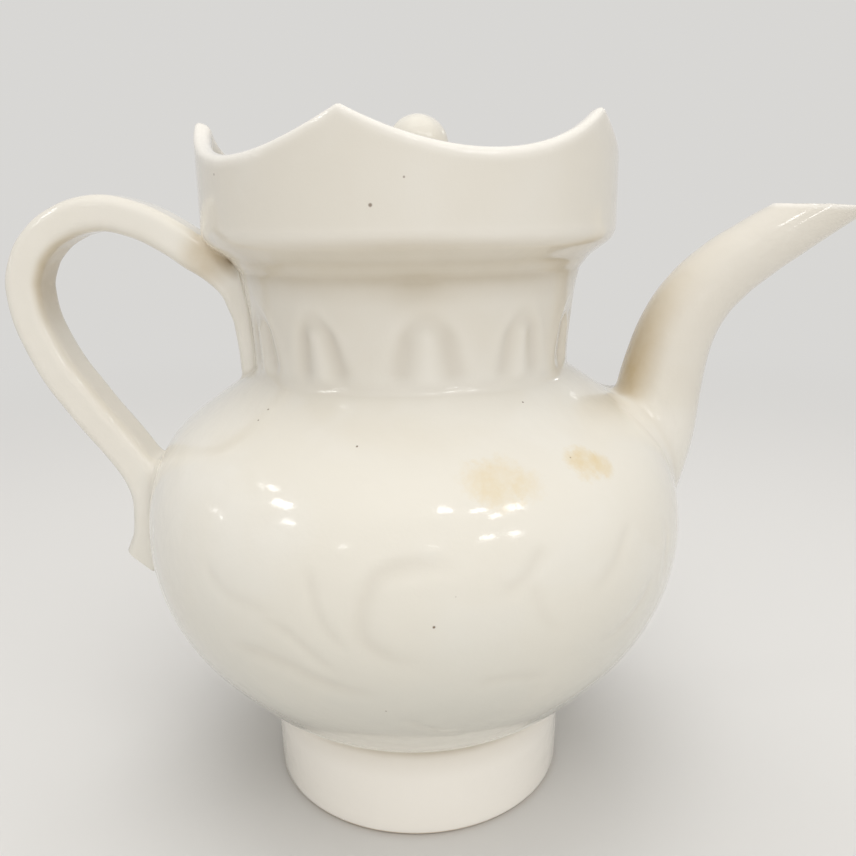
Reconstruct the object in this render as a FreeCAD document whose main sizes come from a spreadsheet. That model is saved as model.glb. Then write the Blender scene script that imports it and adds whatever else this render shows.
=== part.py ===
import FreeCAD, Part
import math
import os
import Sketcher

# Flower-mouthed white porcelain ewer with its loose lid.
# Millimetres. The foot stands on Z = 0, Z points up, the axis of the thrown
# pieces is X = Y = 0, the spout points along +X and the handle along -X.
#
# The ewer is made the way a potter makes it: thrown rings and bowls, a moulded
# spout and a cut strap, luted together with slip. The thrown pieces meet on
# flat faces; the spout and the handle are pared to the curved wall behind them
# and leave a thin layer of slip there.

doc = FreeCAD.newDocument("Ewer")

# Driving dimensions. Lengths in millimetres, angles in degrees.
sizes = {
    # foot ring
    "foot_height": 29.4,
    "foot_radius": 46.2,
    "foot_flare": 0.7,
    "foot_wall": 6.0,
    "foot_edge": 1.6,
    # belly, lower bowl
    "belly_radius": 80.7,
    "girth_height": 84.7,
    "belly_wall": 5.0,
    "hip_out_share": 0.5755,
    "hip_up_share": 0.3286,
    "heel_out_share": 0.2976,
    "heel_up_share": 0.1394,
    "heel_radius": 34.0,
    "base_margin": 1.1,
    "base_edge": 1.0,
    "base_thickness": 5.0,
    "floor_fillet": 14.0,
    # belly, upper dome
    "shoulder_radius": 50.0,
    "shoulder_angle": 25.0,
    "crest_radius": 30.0,
    "crest_angle": 55.5,
    # neck
    "neck_foot_radius": 46.7,
    "neck_seat_margin": 1.4,
    "neck_fillet": 3.2,
    "neck_flare": 2.9,
    "neck_straight": 4.0,
    "neck_height": 29.4,
    "neck_wall": 5.2,
    "petal_spread": 4.7,
    "trough_radius": 4.0,
    "trough_sweep": 20.0,
    "trough_depth": 1.3,
    "trough_lift": 12.5,
    "petal_count": 10,
    "petal_start": -61.0,
    # mouth cup with the flower rim
    "cup_overhang": 9.7,
    "cup_wall": 4.5,
    "cup_swell": 2.7,
    "cup_swell_height": 3.6,
    "cup_swell_fillet": 8.0,
    "cup_underside_height": 8.6,
    "cup_corner": 6.0,
    "cup_ledge_height": 9.5,
    "cup_ledge_fillet": 1.2,
    "crown_height": 37.7,
    "crown_depth": 10.7,
    "crown_blank": 5.0,
    "tip_1_rise": 3.6,
    "tip_2_rise": 1.8,
    "tip_3_rise": 2.4,
    "tip_4_rise": 0.0,
    "tip_5_rise": 2.0,
    "crown_tip": 1.8,
    "crown_edge": 1.5,
    # lid
    "lid_clearance": 1.4,
    "lid_thickness": 4.0,
    "lid_rise": 13.6,
    "lid_dome_radius": 110.0,
    "flange_clearance": 1.0,
    "flange_wall": 4.0,
    "flange_depth": 8.0,
    "knob_offset": 2.8,
    "knob_seat_radius": 10.5,
    "knob_foot_radius": 6.6,
    "knob_stem_radius": 5.0,
    "knob_stem_height": 2.6,
    "knob_radius": 8.8,
    "knob_swell_height": 8.2,
    "knob_swell_radius": 11.0,
    # spout
    "spout_throw": 49.1,
    "spout_rise": 90.3,
    "spout_root_radius": 12.9,
    "spout_lip_radius": 7.4,
    "spout_root_wall": 4.6,
    "spout_lip_wall": 2.6,
    "spout_lip_tilt": 2.9,
    "strainer_hole_radius": 7.0,
    # handle
    "handle_bow": 32.2,
    "handle_lift": 16.7,
    "handle_width": 15.2,
    "handle_corner": 3.2,
    "handle_tail": 10.6,
    "handle_turn": 9.4,
    "handle_bend": 8.4,
    "handle_strap": 10.3,
    "handle_limb": 11.0,
    "handle_foot": 12.0,
    "handle_end_drop": 20.0,
    "handle_end_angle": 41.0,
    # joints of slip and cutting room
    "slip_gap": 0.2,
    "overrun": 10.0,
}

# Sizes that follow from the driving ones, as formulas on the sheet.
derived = {
    "foot_inner_radius": "foot_radius - foot_wall",
    "foot_top_radius": "foot_radius + foot_flare",
    # lower bowl: a hip arc, a straight flank and a heel arc down to the foot
    "base_radius": "foot_top_radius + base_margin",
    "belly_spread": "belly_radius - base_radius",
    "belly_drop": "girth_height - foot_height",
    "hip_x": "base_radius + hip_out_share * belly_spread",
    "hip_z": "foot_height + hip_up_share * belly_drop",
    "hip_radius": "((belly_radius - hip_x)^2 + (girth_height - hip_z)^2) / (2 * (belly_radius - hip_x))",
    "hip_center": "belly_radius - hip_radius",
    "heel_x": "base_radius + heel_out_share * belly_spread",
    "heel_z": "foot_height + heel_up_share * belly_drop",
    "flank_slope": "(hip_x - heel_x) / (hip_z - heel_z)",
    "belly_inner_radius": "belly_radius - belly_wall",
    "hip_inner_arc": "hip_radius - belly_wall",
    "hip_inner_x": "hip_center + (hip_x - hip_center) * hip_inner_arc / hip_radius",
    "hip_inner_z": "girth_height - (girth_height - hip_z) * hip_inner_arc / hip_radius",
    "floor_height": "foot_height + base_thickness",
    "floor_radius": "hip_inner_x - (hip_inner_z - floor_height) * flank_slope",
    # upper dome: two arcs and a straight slope up to the neck
    "shoulder_center": "belly_radius - shoulder_radius",
    "shoulder_x": "shoulder_center + shoulder_radius * cos(shoulder_angle * 1 deg)",
    "shoulder_z": "girth_height + shoulder_radius * sin(shoulder_angle * 1 deg)",
    "crest_center_x": "shoulder_x - crest_radius * cos(shoulder_angle * 1 deg)",
    "crest_center_z": "shoulder_z - crest_radius * sin(shoulder_angle * 1 deg)",
    "crest_x": "crest_center_x + crest_radius * cos(crest_angle * 1 deg)",
    "crest_z": "crest_center_z + crest_radius * sin(crest_angle * 1 deg)",
    "neck_seat_radius": "neck_foot_radius + neck_seat_margin",
    "neck_base": "crest_z + (crest_x - neck_seat_radius) / tan(crest_angle * 1 deg)",
    "neck_bore": "neck_foot_radius - neck_wall",
    "shoulder_inner_arc": "shoulder_radius - belly_wall",
    "shoulder_inner_x": "shoulder_center + shoulder_inner_arc * cos(shoulder_angle * 1 deg)",
    "shoulder_inner_z": "girth_height + shoulder_inner_arc * sin(shoulder_angle * 1 deg)",
    "crest_inner_arc": "crest_radius - belly_wall",
    "crest_inner_x": "crest_center_x + crest_inner_arc * cos(crest_angle * 1 deg)",
    "crest_inner_z": "crest_center_z + crest_inner_arc * sin(crest_angle * 1 deg)",
    "neck_bore_z": "crest_inner_z + (crest_inner_x - neck_bore) / tan(crest_angle * 1 deg)",
    # the hole behind the spout starts inside the wall, on the line square to it
    "hole_start_x": "shoulder_x - overrun * cos(shoulder_angle * 1 deg)",
    "hole_start_z": "shoulder_z - overrun * sin(shoulder_angle * 1 deg)",
    # neck
    "neck_top_radius": "neck_foot_radius + neck_flare",
    "neck_top": "neck_base + neck_height",
    "neck_waist": "neck_base + neck_straight",
    "neck_fillet_z": "neck_base + sqrt(neck_fillet^2 - (neck_fillet - neck_seat_margin)^2)",
    "neck_run": "neck_height - neck_straight",
    "neck_arc": "(neck_run^2 + neck_flare^2) / (2 * neck_flare)",
    "throat_radius": "neck_top_radius - neck_wall",
    "trough_center": "neck_foot_radius - trough_depth + trough_radius + trough_sweep",
    "trough_z": "neck_base + trough_lift",
    "petal_pitch": "360 / (petal_count + 1)",
    "petal_arc": "petal_pitch * (petal_count - 1)",
    # mouth cup
    "cup_radius": "neck_top_radius + cup_overhang",
    "swell_x": "neck_top_radius + cup_swell",
    "swell_z": "neck_top + cup_swell_height",
    "cup_corner_z": "neck_top + cup_underside_height",
    "cup_inner_radius": "cup_radius - cup_wall",
    "ledge_z": "neck_top + cup_ledge_height",
    "crown_z": "neck_top + crown_height",
    "rim_blank_z": "crown_z + crown_blank",
    # lid
    "lid_radius": "cup_inner_radius - lid_clearance",
    "lid_edge_z": "ledge_z + lid_thickness",
    "lid_top": "ledge_z + lid_rise",
    "lid_ceiling": "lid_top - lid_thickness",
    "flange_radius": "throat_radius - flange_clearance",
    "flange_inner_radius": "flange_radius - flange_wall",
    "flange_bottom": "ledge_z - flange_depth",
    "knob_stem_z": "lid_top + knob_stem_height",
    "knob_swell_z": "knob_stem_z + knob_swell_height",
    "knob_top": "knob_swell_z + knob_radius",
    # spout and handle
    "spout_root": "belly_radius - spout_root_radius",
    "spout_reach": "belly_radius + spout_throw",
    "handle_reach": "belly_radius + handle_bow",
    "handle_rise": "neck_top + handle_lift - girth_height",
}

sheet = doc.addObject("Spreadsheet::Sheet", "Sizes")
for row, (name, value) in enumerate(sizes.items(), start=1):
    sheet.set("A%d" % row, name)
    sheet.set("B%d" % row, str(value))
    sheet.setAlias("B%d" % row, name)
for row, (name, formula) in enumerate(derived.items(), start=len(sizes) + 1):
    sheet.set("A%d" % row, name)
    sheet.set("B%d" % row, "=" + formula)
    sheet.setAlias("B%d" % row, name)
doc.recompute()


def size(name):
    """The value of one cell of the sheet."""
    return float(sheet.get(name))


def coordinate(word):
    """The value of a corner's word: a cell of the sheet, or zero for "axis" and "ground"."""
    return 0.0 if word in ("axis", "ground") else size(word)


def originFeature(body, role):
    return [feature for feature in body.Origin.OriginFeatures if feature.Role == role][0]


def newBody(label):
    body = doc.addObject("PartDesign::Body", label)
    body.Label = label
    return body


def arcBetween(start, end, radius, turn, normal=FreeCAD.Vector(0, 0, 1)):
    """The arc of a radius from start to end; turn is 1 with the centre on the left, -1 on the right."""
    chord = end - start
    across = normal.cross(chord).normalize()
    reach = math.sqrt(max(radius * radius - chord.Length * chord.Length / 4, 0))
    center = (start + end) / 2 + across * (reach * turn)
    middle = center + ((start + end) / 2 - center).normalize() * radius
    return Part.Arc(start, middle, end)


def turnedOutline(body, name, corners):
    """A closed half outline on the XZ plane, every corner and radius bound to the sheet.

    A corner is (radius, height, arc, turn): arc names the radius of the edge to the
    next corner, or is None for a straight edge.
    """
    sketch = body.newObject("Sketcher::SketchObject", name)
    sketch.AttachmentSupport = (originFeature(body, "XZ_Plane"), [""])
    sketch.MapMode = "FlatFace"
    points = [FreeCAD.Vector(coordinate(x), coordinate(z), 0) for x, z, arc, turn in corners]
    count = len(corners)
    for i, (x, z, arc, turn) in enumerate(corners):
        start = points[i]
        end = points[(i + 1) % count]
        if arc is None:
            sketch.addGeometry(Part.LineSegment(start, end))
        else:
            sketch.addGeometry(arcBetween(start, end, size(arc), turn))
    first, last = {}, {}
    for i, (x, z, arc, turn) in enumerate(corners):
        # the sketcher keeps its arcs counter-clockwise, so a right turn starts at its end point
        reverse = arc is not None and turn < 0
        first[i] = 2 if reverse else 1
        last[i] = 1 if reverse else 2
    for i in range(count):
        following = (i + 1) % count
        sketch.addConstraint(Sketcher.Constraint("Coincident", i, last[i], following, first[following]))
    for i, (x, z, arc, turn) in enumerate(corners):
        for word, kind, value, axis in ((x, "DistanceX", points[i].x, -2), (z, "DistanceY", points[i].y, -1)):
            if word in ("axis", "ground"):
                sketch.addConstraint(Sketcher.Constraint("PointOnObject", i, first[i], axis))
            else:
                index = sketch.addConstraint(Sketcher.Constraint(kind, -1, 1, i, first[i], value))
                sketch.setExpression("Constraints[%d]" % index, "Sizes." + word)
        if arc is not None:
            index = sketch.addConstraint(Sketcher.Constraint("Radius", i, size(arc)))
            sketch.setExpression("Constraints[%d]" % index, "Sizes." + arc)
    return sketch


def turned(body, name, corners):
    """A thrown piece: the outline turned once round the Z axis."""
    sketch = turnedOutline(body, name + "_outline", corners)
    turning = body.newObject("PartDesign::Revolution", name + "_turning")
    turning.Profile = sketch
    turning.ReferenceAxis = (originFeature(body, "Z_Axis"), [""])
    turning.Angle = 360
    doc.recompute()
    return turning


def onRing(edge, radius, height):
    """Whether an edge is a full ring of that radius at that height."""
    point = edge.valueAt(edge.FirstParameter)
    off = max(abs(math.hypot(point.x, point.y) - radius), abs(point.z - height))
    return edge.Closed and off < size("slip_gap") / 2


def roundRings(body, base, name, rings, radius):
    """A fillet on the rings of base; a ring is named by its radius and its height."""
    edges = []
    for i, edge in enumerate(base.Shape.Edges, start=1):
        if any(onRing(edge, coordinate(x), coordinate(z)) for x, z in rings):
            edges.append("Edge%d" % i)
    fillet = body.newObject("PartDesign::Fillet", name)
    fillet.Base = (base, edges)
    fillet.setExpression("Radius", "Sizes." + radius)
    doc.recompute()
    return fillet


def footRing():
    body = newBody("foot_ring")
    corners = [
        ("foot_inner_radius", "ground", None, 0),
        ("foot_radius", "ground", None, 0),
        ("foot_top_radius", "foot_height", None, 0),
        ("foot_inner_radius", "foot_height", None, 0),
    ]
    ring = turned(body, "foot", corners)
    rings = [("foot_inner_radius", "ground"), ("foot_radius", "ground")]
    roundRings(body, ring, "foot_rounding", rings, "foot_edge")
    return body


def bellyLower():
    body = newBody("belly_lower_bowl")
    corners = [
        ("axis", "foot_height", None, 0),
        ("base_radius", "foot_height", "heel_radius", 1),
        ("heel_x", "heel_z", None, 0),
        ("hip_x", "hip_z", "hip_radius", 1),
        ("belly_radius", "girth_height", None, 0),
        ("belly_inner_radius", "girth_height", "hip_inner_arc", -1),
        ("hip_inner_x", "hip_inner_z", None, 0),
        ("floor_radius", "floor_height", None, 0),
        ("axis", "floor_height", None, 0),
    ]
    bowl = turned(body, "bowl", corners)
    base = roundRings(body, bowl, "base_rounding", [("base_radius", "foot_height")], "base_edge")
    roundRings(body, base, "floor_rounding", [("floor_radius", "floor_height")], "floor_fillet")
    return body


def bellyUpper():
    body = newBody("belly_upper_dome")
    corners = [
        ("belly_inner_radius", "girth_height", None, 0),
        ("belly_radius", "girth_height", "shoulder_radius", 1),
        ("shoulder_x", "shoulder_z", "crest_radius", 1),
        ("crest_x", "crest_z", None, 0),
        ("neck_seat_radius", "neck_base", None, 0),
        ("neck_bore", "neck_base", None, 0),
        ("neck_bore", "neck_bore_z", None, 0),
        ("crest_inner_x", "crest_inner_z", "crest_inner_arc", -1),
        ("shoulder_inner_x", "shoulder_inner_z", "shoulder_inner_arc", -1),
    ]
    turned(body, "dome", corners)
    # the hole behind the spout, square to the wall where the shoulder arc ends
    hole = body.newObject("PartDesign::SubtractiveCylinder", "spout_hole")
    hole.AttachmentSupport = (originFeature(body, "XY_Plane"), [""])
    hole.MapMode = "FlatFace"
    hole.setExpression("Radius", "Sizes.strainer_hole_radius")
    hole.setExpression("Height", "2 * Sizes.overrun")
    hole.setExpression(
        "AttachmentOffset",
        "create(<<placement>>; vector(Sizes.hole_start_x; 0; Sizes.hole_start_z);"
        " rotation(vector(0; 1; 0); 90 - Sizes.shoulder_angle))",
    )
    doc.recompute()
    return body


def neck():
    body = newBody("neck_with_carved_petals")
    corners = [
        ("neck_bore", "neck_base", None, 0),
        ("neck_seat_radius", "neck_base", "neck_fillet", -1),
        ("neck_foot_radius", "neck_fillet_z", None, 0),
        ("neck_foot_radius", "neck_waist", "neck_arc", -1),
        ("neck_top_radius", "neck_top", None, 0),
        ("throat_radius", "neck_top", "neck_arc", 1),
        ("neck_bore", "neck_waist", None, 0),
    ]
    turned(body, "neck", corners)
    # two troughs swept with a round gouge leave the rib of a petal between them, and
    # the pair is repeated round the neck, but for the place that the strap covers
    troughs = []
    for name, side in (("trough_left", "-"), ("trough_right", "")):
        trough = body.newObject("PartDesign::SubtractiveTorus", name)
        trough.AttachmentSupport = (originFeature(body, "XY_Plane"), [""])
        trough.MapMode = "FlatFace"
        trough.setExpression("Radius1", "Sizes.trough_sweep")
        trough.setExpression("Radius2", "Sizes.trough_radius")
        trough.setExpression(
            "AttachmentOffset",
            "create(<<placement>>; vector(0; 0; 0); rotation(vector(0; 0; 1); Sizes.petal_start))"
            " * create(<<placement>>; vector(" + side + "Sizes.petal_spread;"
            " -Sizes.trough_center; Sizes.trough_z); rotation(vector(0; 1; 0); 90))",
        )
        troughs.append(trough)
        doc.recompute()
    petals = body.newObject("PartDesign::PolarPattern", "petals")
    petals.Originals = troughs
    petals.Axis = (originFeature(body, "Z_Axis"), [""])
    petals.setExpression("Angle", "Sizes.petal_arc")
    petals.setExpression("Occurrences", "Sizes.petal_count")
    body.Tip = petals
    doc.recompute()
    return body


# The tips of the flower rim, in degrees from the front of the ewer (-Y) towards the spout.
# They were cut by eye and aren't evenly spaced.
crownTips = [-84.0, -14.0, 55.5, 127.0, 201.0]


def mouthCup():
    body = newBody("mouth_cup_with_flower_rim")
    corners = [
        ("throat_radius", "neck_top", None, 0),
        ("neck_top_radius", "neck_top", None, 0),
        ("swell_x", "swell_z", None, 0),
        ("cup_radius", "cup_corner_z", None, 0),
        ("cup_radius", "rim_blank_z", None, 0),
        ("cup_inner_radius", "rim_blank_z", None, 0),
        ("cup_inner_radius", "ledge_z", None, 0),
        ("throat_radius", "ledge_z", None, 0),
    ]
    cup = turned(body, "cup", corners)
    corner = roundRings(body, cup, "corner_rounding", [("cup_radius", "cup_corner_z")], "cup_corner")
    swell = roundRings(body, corner, "swell_rounding", [("swell_x", "swell_z")], "cup_swell_fillet")
    roundRings(body, swell, "ledge_rounding", [("cup_inner_radius", "ledge_z")], "cup_ledge_fillet")
    # each valley of the rim is one arc cut outwards between two tips
    for i, tip in enumerate(crownTips):
        following = crownTips[(i + 1) % len(crownTips)]
        opening = (following - tip) % 360
        heading = tip + opening / 2
        name = "valley_%d" % (i + 1)
        half = "Sizes.cup_radius * sin(%s deg)" % (opening / 2)
        halfValue = size("cup_radius") * math.sin(math.radians(opening / 2))
        leftTop = "(Sizes.crown_z + Sizes.tip_%d_rise)" % (i + 1)
        rightTop = "(Sizes.crown_z + Sizes.tip_%d_rise)" % ((i + 1) % len(crownTips) + 1)
        leftValue = size("crown_z") + size("tip_%d_rise" % (i + 1))
        rightValue = size("crown_z") + size("tip_%d_rise" % ((i + 1) % len(crownTips) + 1))
        depth = size("crown_depth")
        chord = math.hypot(halfValue, (rightValue - leftValue) / 2)
        radius = (chord * chord + depth * depth) / (2 * depth)
        sketch = body.newObject("Sketcher::SketchObject", name + "_outline")
        sketch.AttachmentSupport = (originFeature(body, "XZ_Plane"), [""])
        sketch.MapMode = "FlatFace"
        # the sketch plane holds the axis and is turned about it
        sketch.AttachmentOffset = FreeCAD.Placement(
            FreeCAD.Vector(0, 0, 0), FreeCAD.Rotation(FreeCAD.Vector(0, 1, 0), heading)
        )
        above = size("rim_blank_z") + size("overrun")
        left = FreeCAD.Vector(-halfValue, leftValue, 0)
        right = FreeCAD.Vector(halfValue, rightValue, 0)
        leftAbove = FreeCAD.Vector(-halfValue, above, 0)
        rightAbove = FreeCAD.Vector(halfValue, above, 0)
        sketch.addGeometry(arcBetween(left, right, radius, 1))
        sketch.addGeometry(Part.LineSegment(right, rightAbove))
        sketch.addGeometry(Part.LineSegment(rightAbove, leftAbove))
        sketch.addGeometry(Part.LineSegment(leftAbove, left))
        for i1, p1, i2, p2 in ((0, 2, 1, 1), (1, 2, 2, 1), (2, 2, 3, 1), (3, 2, 0, 1)):
            sketch.addConstraint(Sketcher.Constraint("Coincident", i1, p1, i2, p2))
        bound = [
            ("DistanceX", (-1, 1, 0, 2), right.x, half),
            ("DistanceX", (0, 1, -1, 1), right.x, half),
            ("DistanceY", (-1, 1, 0, 2), right.y, rightTop),
            ("DistanceY", (-1, 1, 0, 1), left.y, leftTop),
            ("DistanceY", (-1, 1, 1, 2), above, "Sizes.rim_blank_z + Sizes.overrun"),
        ]
        for kind, ends, value, expression in bound:
            index = sketch.addConstraint(Sketcher.Constraint(kind, *ends, value))
            sketch.setExpression("Constraints[%d]" % index, expression)
        index = sketch.addConstraint(Sketcher.Constraint("Radius", 0, radius))
        sketch.setExpression(
            "Constraints[%d]" % index,
            "((%s)^2 + ((%s - %s) / 2)^2 + Sizes.crown_depth^2) / (2 * Sizes.crown_depth)"
            % (half, rightTop, leftTop),
        )
        for line in (1, 3):
            sketch.addConstraint(Sketcher.Constraint("Vertical", line))
        sketch.addConstraint(Sketcher.Constraint("Horizontal", 2))
        doc.recompute()
        before = body.Shape.Volume
        pocket = body.newObject("PartDesign::Pocket", name)
        pocket.Profile = sketch
        pocket.Type = 0
        pocket.Reversed = True
        pocket.setExpression("Length", "Sizes.cup_radius + Sizes.overrun")
        doc.recompute()
        if not body.Shape.Volume < before:
            raise RuntimeError(name + " cuts nothing")
    # the points are blunted, then the cut lip is wiped round with a wet finger, outside and in
    acrossWall, alongWall = crownEdges(pocket.Shape)
    tips = body.newObject("PartDesign::Fillet", "tip_rounding")
    tips.Base = (pocket, acrossWall)
    tips.setExpression("Radius", "Sizes.crown_tip")
    doc.recompute()
    acrossWall, alongWall = crownEdges(tips.Shape)
    lip = body.newObject("PartDesign::Fillet", "lip_rounding")
    lip.Base = (tips, alongWall)
    lip.setExpression("Radius", "Sizes.crown_edge")
    doc.recompute()
    return body


def crownEdges(shape):
    """The rim's edges that run through the wall, and those that run along it."""
    across, along = [], []
    lowest = size("crown_z") - size("crown_depth")
    middle = (size("cup_radius") + size("cup_inner_radius")) / 2
    for i, edge in enumerate(shape.Edges, start=1):
        ends = [edge.Vertexes[0].Point, edge.Vertexes[-1].Point]
        if min(point.z for point in ends) < lowest:
            continue
        sides = {math.hypot(point.x, point.y) > middle for point in ends}
        name = "Edge%d" % i
        if len(sides) == 2:
            across.append(name)
        else:
            along.append(name)
    return across, along


def lidDisc():
    body = newBody("lid_disc")
    corners = [
        ("flange_inner_radius", "ledge_z", None, 0),
        ("lid_radius", "ledge_z", None, 0),
        ("lid_radius", "lid_edge_z", "lid_dome_radius", 1),
        ("knob_seat_radius", "lid_top", None, 0),
        ("axis", "lid_top", None, 0),
        ("axis", "lid_ceiling", None, 0),
        ("knob_seat_radius", "lid_ceiling", "lid_dome_radius", -1),
    ]
    turned(body, "lid", corners)
    return body


def lidFlange():
    body = newBody("lid_locating_flange")
    corners = [
        ("flange_inner_radius", "flange_bottom", None, 0),
        ("flange_radius", "flange_bottom", None, 0),
        ("flange_radius", "ledge_z", None, 0),
        ("flange_inner_radius", "ledge_z", None, 0),
    ]
    turned(body, "flange", corners)
    return body


def lidKnob():
    body = newBody("lid_bud_knob")
    corners = [
        ("axis", "lid_top", None, 0),
        ("knob_foot_radius", "lid_top", None, 0),
        ("knob_stem_radius", "knob_stem_z", "knob_swell_radius", 1),
        ("knob_radius", "knob_swell_z", "knob_radius", 1),
        ("axis", "knob_top", None, 0),
    ]
    turned(body, "knob", corners)
    body.setExpression("Placement.Base.x", "Sizes.knob_offset")
    doc.recompute()
    return body


def place(x, z):
    """A point of the XZ plane through the axis."""
    return FreeCAD.Vector(x, 0, z)


def envelope():
    """The outside of belly, neck and cup as one solid, grown by the layer of slip."""
    gap = size("slip_gap")

    def arc(centerX, centerZ, radius, start, end):
        angles = [math.radians(start), math.radians((start + end) / 2), math.radians(end)]
        return Part.Arc(
            *[place(centerX + radius * math.cos(a), centerZ + radius * math.sin(a)) for a in angles]
        ).toShape()

    def line(start, end):
        return Part.LineSegment(start, end).toShape()

    hip = math.degrees(math.asin((size("girth_height") - size("hip_z")) / size("hip_radius")))
    shoulder = size("shoulder_angle")
    crest = size("crest_angle")
    girth = size("girth_height")
    lower = arc(size("hip_center"), girth, size("hip_radius") + gap, -hip, 0)
    upper = arc(size("shoulder_center"), girth, size("shoulder_radius") + gap, 0, shoulder)
    top = arc(size("crest_center_x"), size("crest_center_z"), size("crest_radius") + gap, shoulder, crest)
    slope = FreeCAD.Vector(-math.sin(math.radians(crest)), 0, math.cos(math.radians(crest)))
    outward = FreeCAD.Vector(math.cos(math.radians(hip)), 0, -math.sin(math.radians(hip))) * gap
    heelTop = place(size("heel_x"), size("heel_z")) + outward
    base = place(size("base_radius") + gap, size("foot_height"))
    heel = arcBetween(base, heelTop, size("heel_radius"), 1, -FreeCAD.Vector(0, 1, 0)).toShape()
    seat = top.Vertexes[-1].Point
    seat = seat + slope * ((seat.x - size("neck_seat_radius")) / math.sin(math.radians(crest)))
    # the hollow at the foot of the neck, smaller by the slip
    fillet = size("neck_fillet") - gap
    hollow = place(size("neck_foot_radius") + size("neck_fillet"), size("neck_fillet_z"))
    start = math.asin((hollow.z - seat.z) / fillet)
    seat = place(hollow.x - fillet * math.cos(start), seat.z)
    neckFoot = place(hollow.x - fillet, hollow.z)
    lean = start / 2
    neckHollow = Part.Arc(
        seat,
        place(hollow.x - fillet * math.cos(lean), hollow.z - fillet * math.sin(lean)),
        neckFoot,
    ).toShape()
    waist = place(neckFoot.x, size("neck_waist"))
    neckTop = place(size("neck_top_radius") + gap, size("neck_top"))
    middle = size("neck_arc")
    rise = math.asin(size("neck_run") / middle) / 2
    waistArc = Part.Arc(
        waist,
        place(waist.x + middle - middle * math.cos(rise), waist.z + middle * math.sin(rise)),
        neckTop,
    ).toShape()
    swell = place(size("swell_x") + gap, size("swell_z") - gap)
    corner = place(size("cup_radius") + gap, size("cup_corner_z") - gap)
    rim = place(corner.x, size("crown_z") + gap)
    edges = [
        line(place(0, base.z), base),
        heel,
        line(heelTop, lower.Vertexes[0].Point),
        lower,
        upper,
        top,
        line(top.Vertexes[-1].Point, seat),
        neckHollow,
        line(neckFoot, waist),
        waistArc,
        line(neckTop, swell),
        line(swell, corner),
        line(corner, rim),
        line(rim, place(0, rim.z)),
        line(place(0, rim.z), place(0, base.z)),
    ]
    profile = Part.Face(Part.Wire(edges))
    solid = profile.revolve(FreeCAD.Vector(0, 0, 0), FreeCAD.Vector(0, 0, 1), 360)
    # only the cup's lower corner is rounded
    return solid.makeFillet(
        size("cup_corner"), [edge for edge in solid.Edges if onRing(edge, corner.x, corner.z)]
    )


# The spout's middle line from inside the shoulder to past the lip: the share of the way
# out from the root to the lip, the share of the way up from the girth to the lip, the lean
# from upright in degrees, and the share of the way from root radius to lip radius.
spoutShares = [
    (0.012, 0.010, 17.0, 0.200),
    (0.100, 0.278, 8.0, 0.010),
    (0.127, 0.410, 8.5, 0.080),
    (0.167, 0.540, 14.0, 0.220),
    (0.228, 0.652, 27.0, 0.350),
    (0.307, 0.733, 39.0, 0.460),
    (0.418, 0.806, 49.0, 0.565),
    (0.555, 0.872, 55.0, 0.680),
    (0.706, 0.936, 59.0, 0.790),
    (0.875, 1.002, 61.0, 0.950),
    (1.026, 1.058, 62.0, 1.080),
]


def spoutLoft(radiusOf):
    """A loft of rings along the spout's middle line."""
    root = size("spout_root")
    rings = []
    for outShare, upShare, lean, tipShare in spoutShares:
        x = root + outShare * (size("spout_reach") - root)
        z = size("girth_height") + upShare * size("spout_rise")
        axis = FreeCAD.Vector(math.sin(math.radians(lean)), 0, math.cos(math.radians(lean)))
        rings.append(Part.Wire(Part.Circle(place(x, z), axis, radiusOf(tipShare)).toShape()))
    return Part.makeLoft(rings, True, False)


def spout(body):
    def outer(share):
        return size("spout_root_radius") + share * (size("spout_lip_radius") - size("spout_root_radius"))

    def bore(share):
        wall = size("spout_root_wall") + share * (size("spout_lip_wall") - size("spout_root_wall"))
        return outer(share) - wall

    tube = spoutLoft(outer).cut(spoutLoft(bore)).cut(body)
    # the lip is cut almost level
    lip = place(size("spout_reach"), size("girth_height") + size("spout_rise"))
    return largest(tube.cut(knife(lip, size("spout_lip_tilt"))))


def knife(edge, tilt):
    """A block with its flat lower face through edge, tilted about Y."""
    side = 2 * size("spout_reach")
    block = Part.makeBox(side, side, side, FreeCAD.Vector(-side / 2, -side / 2, 0))
    block.Placement = FreeCAD.Placement(edge, FreeCAD.Rotation(FreeCAD.Vector(0, 1, 0), tilt))
    return block


def largest(shape):
    """The largest solid of a cut; the scraps inside the ewer are dropped."""
    return max(shape.Solids, key=lambda solid: solid.Volume)


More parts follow.
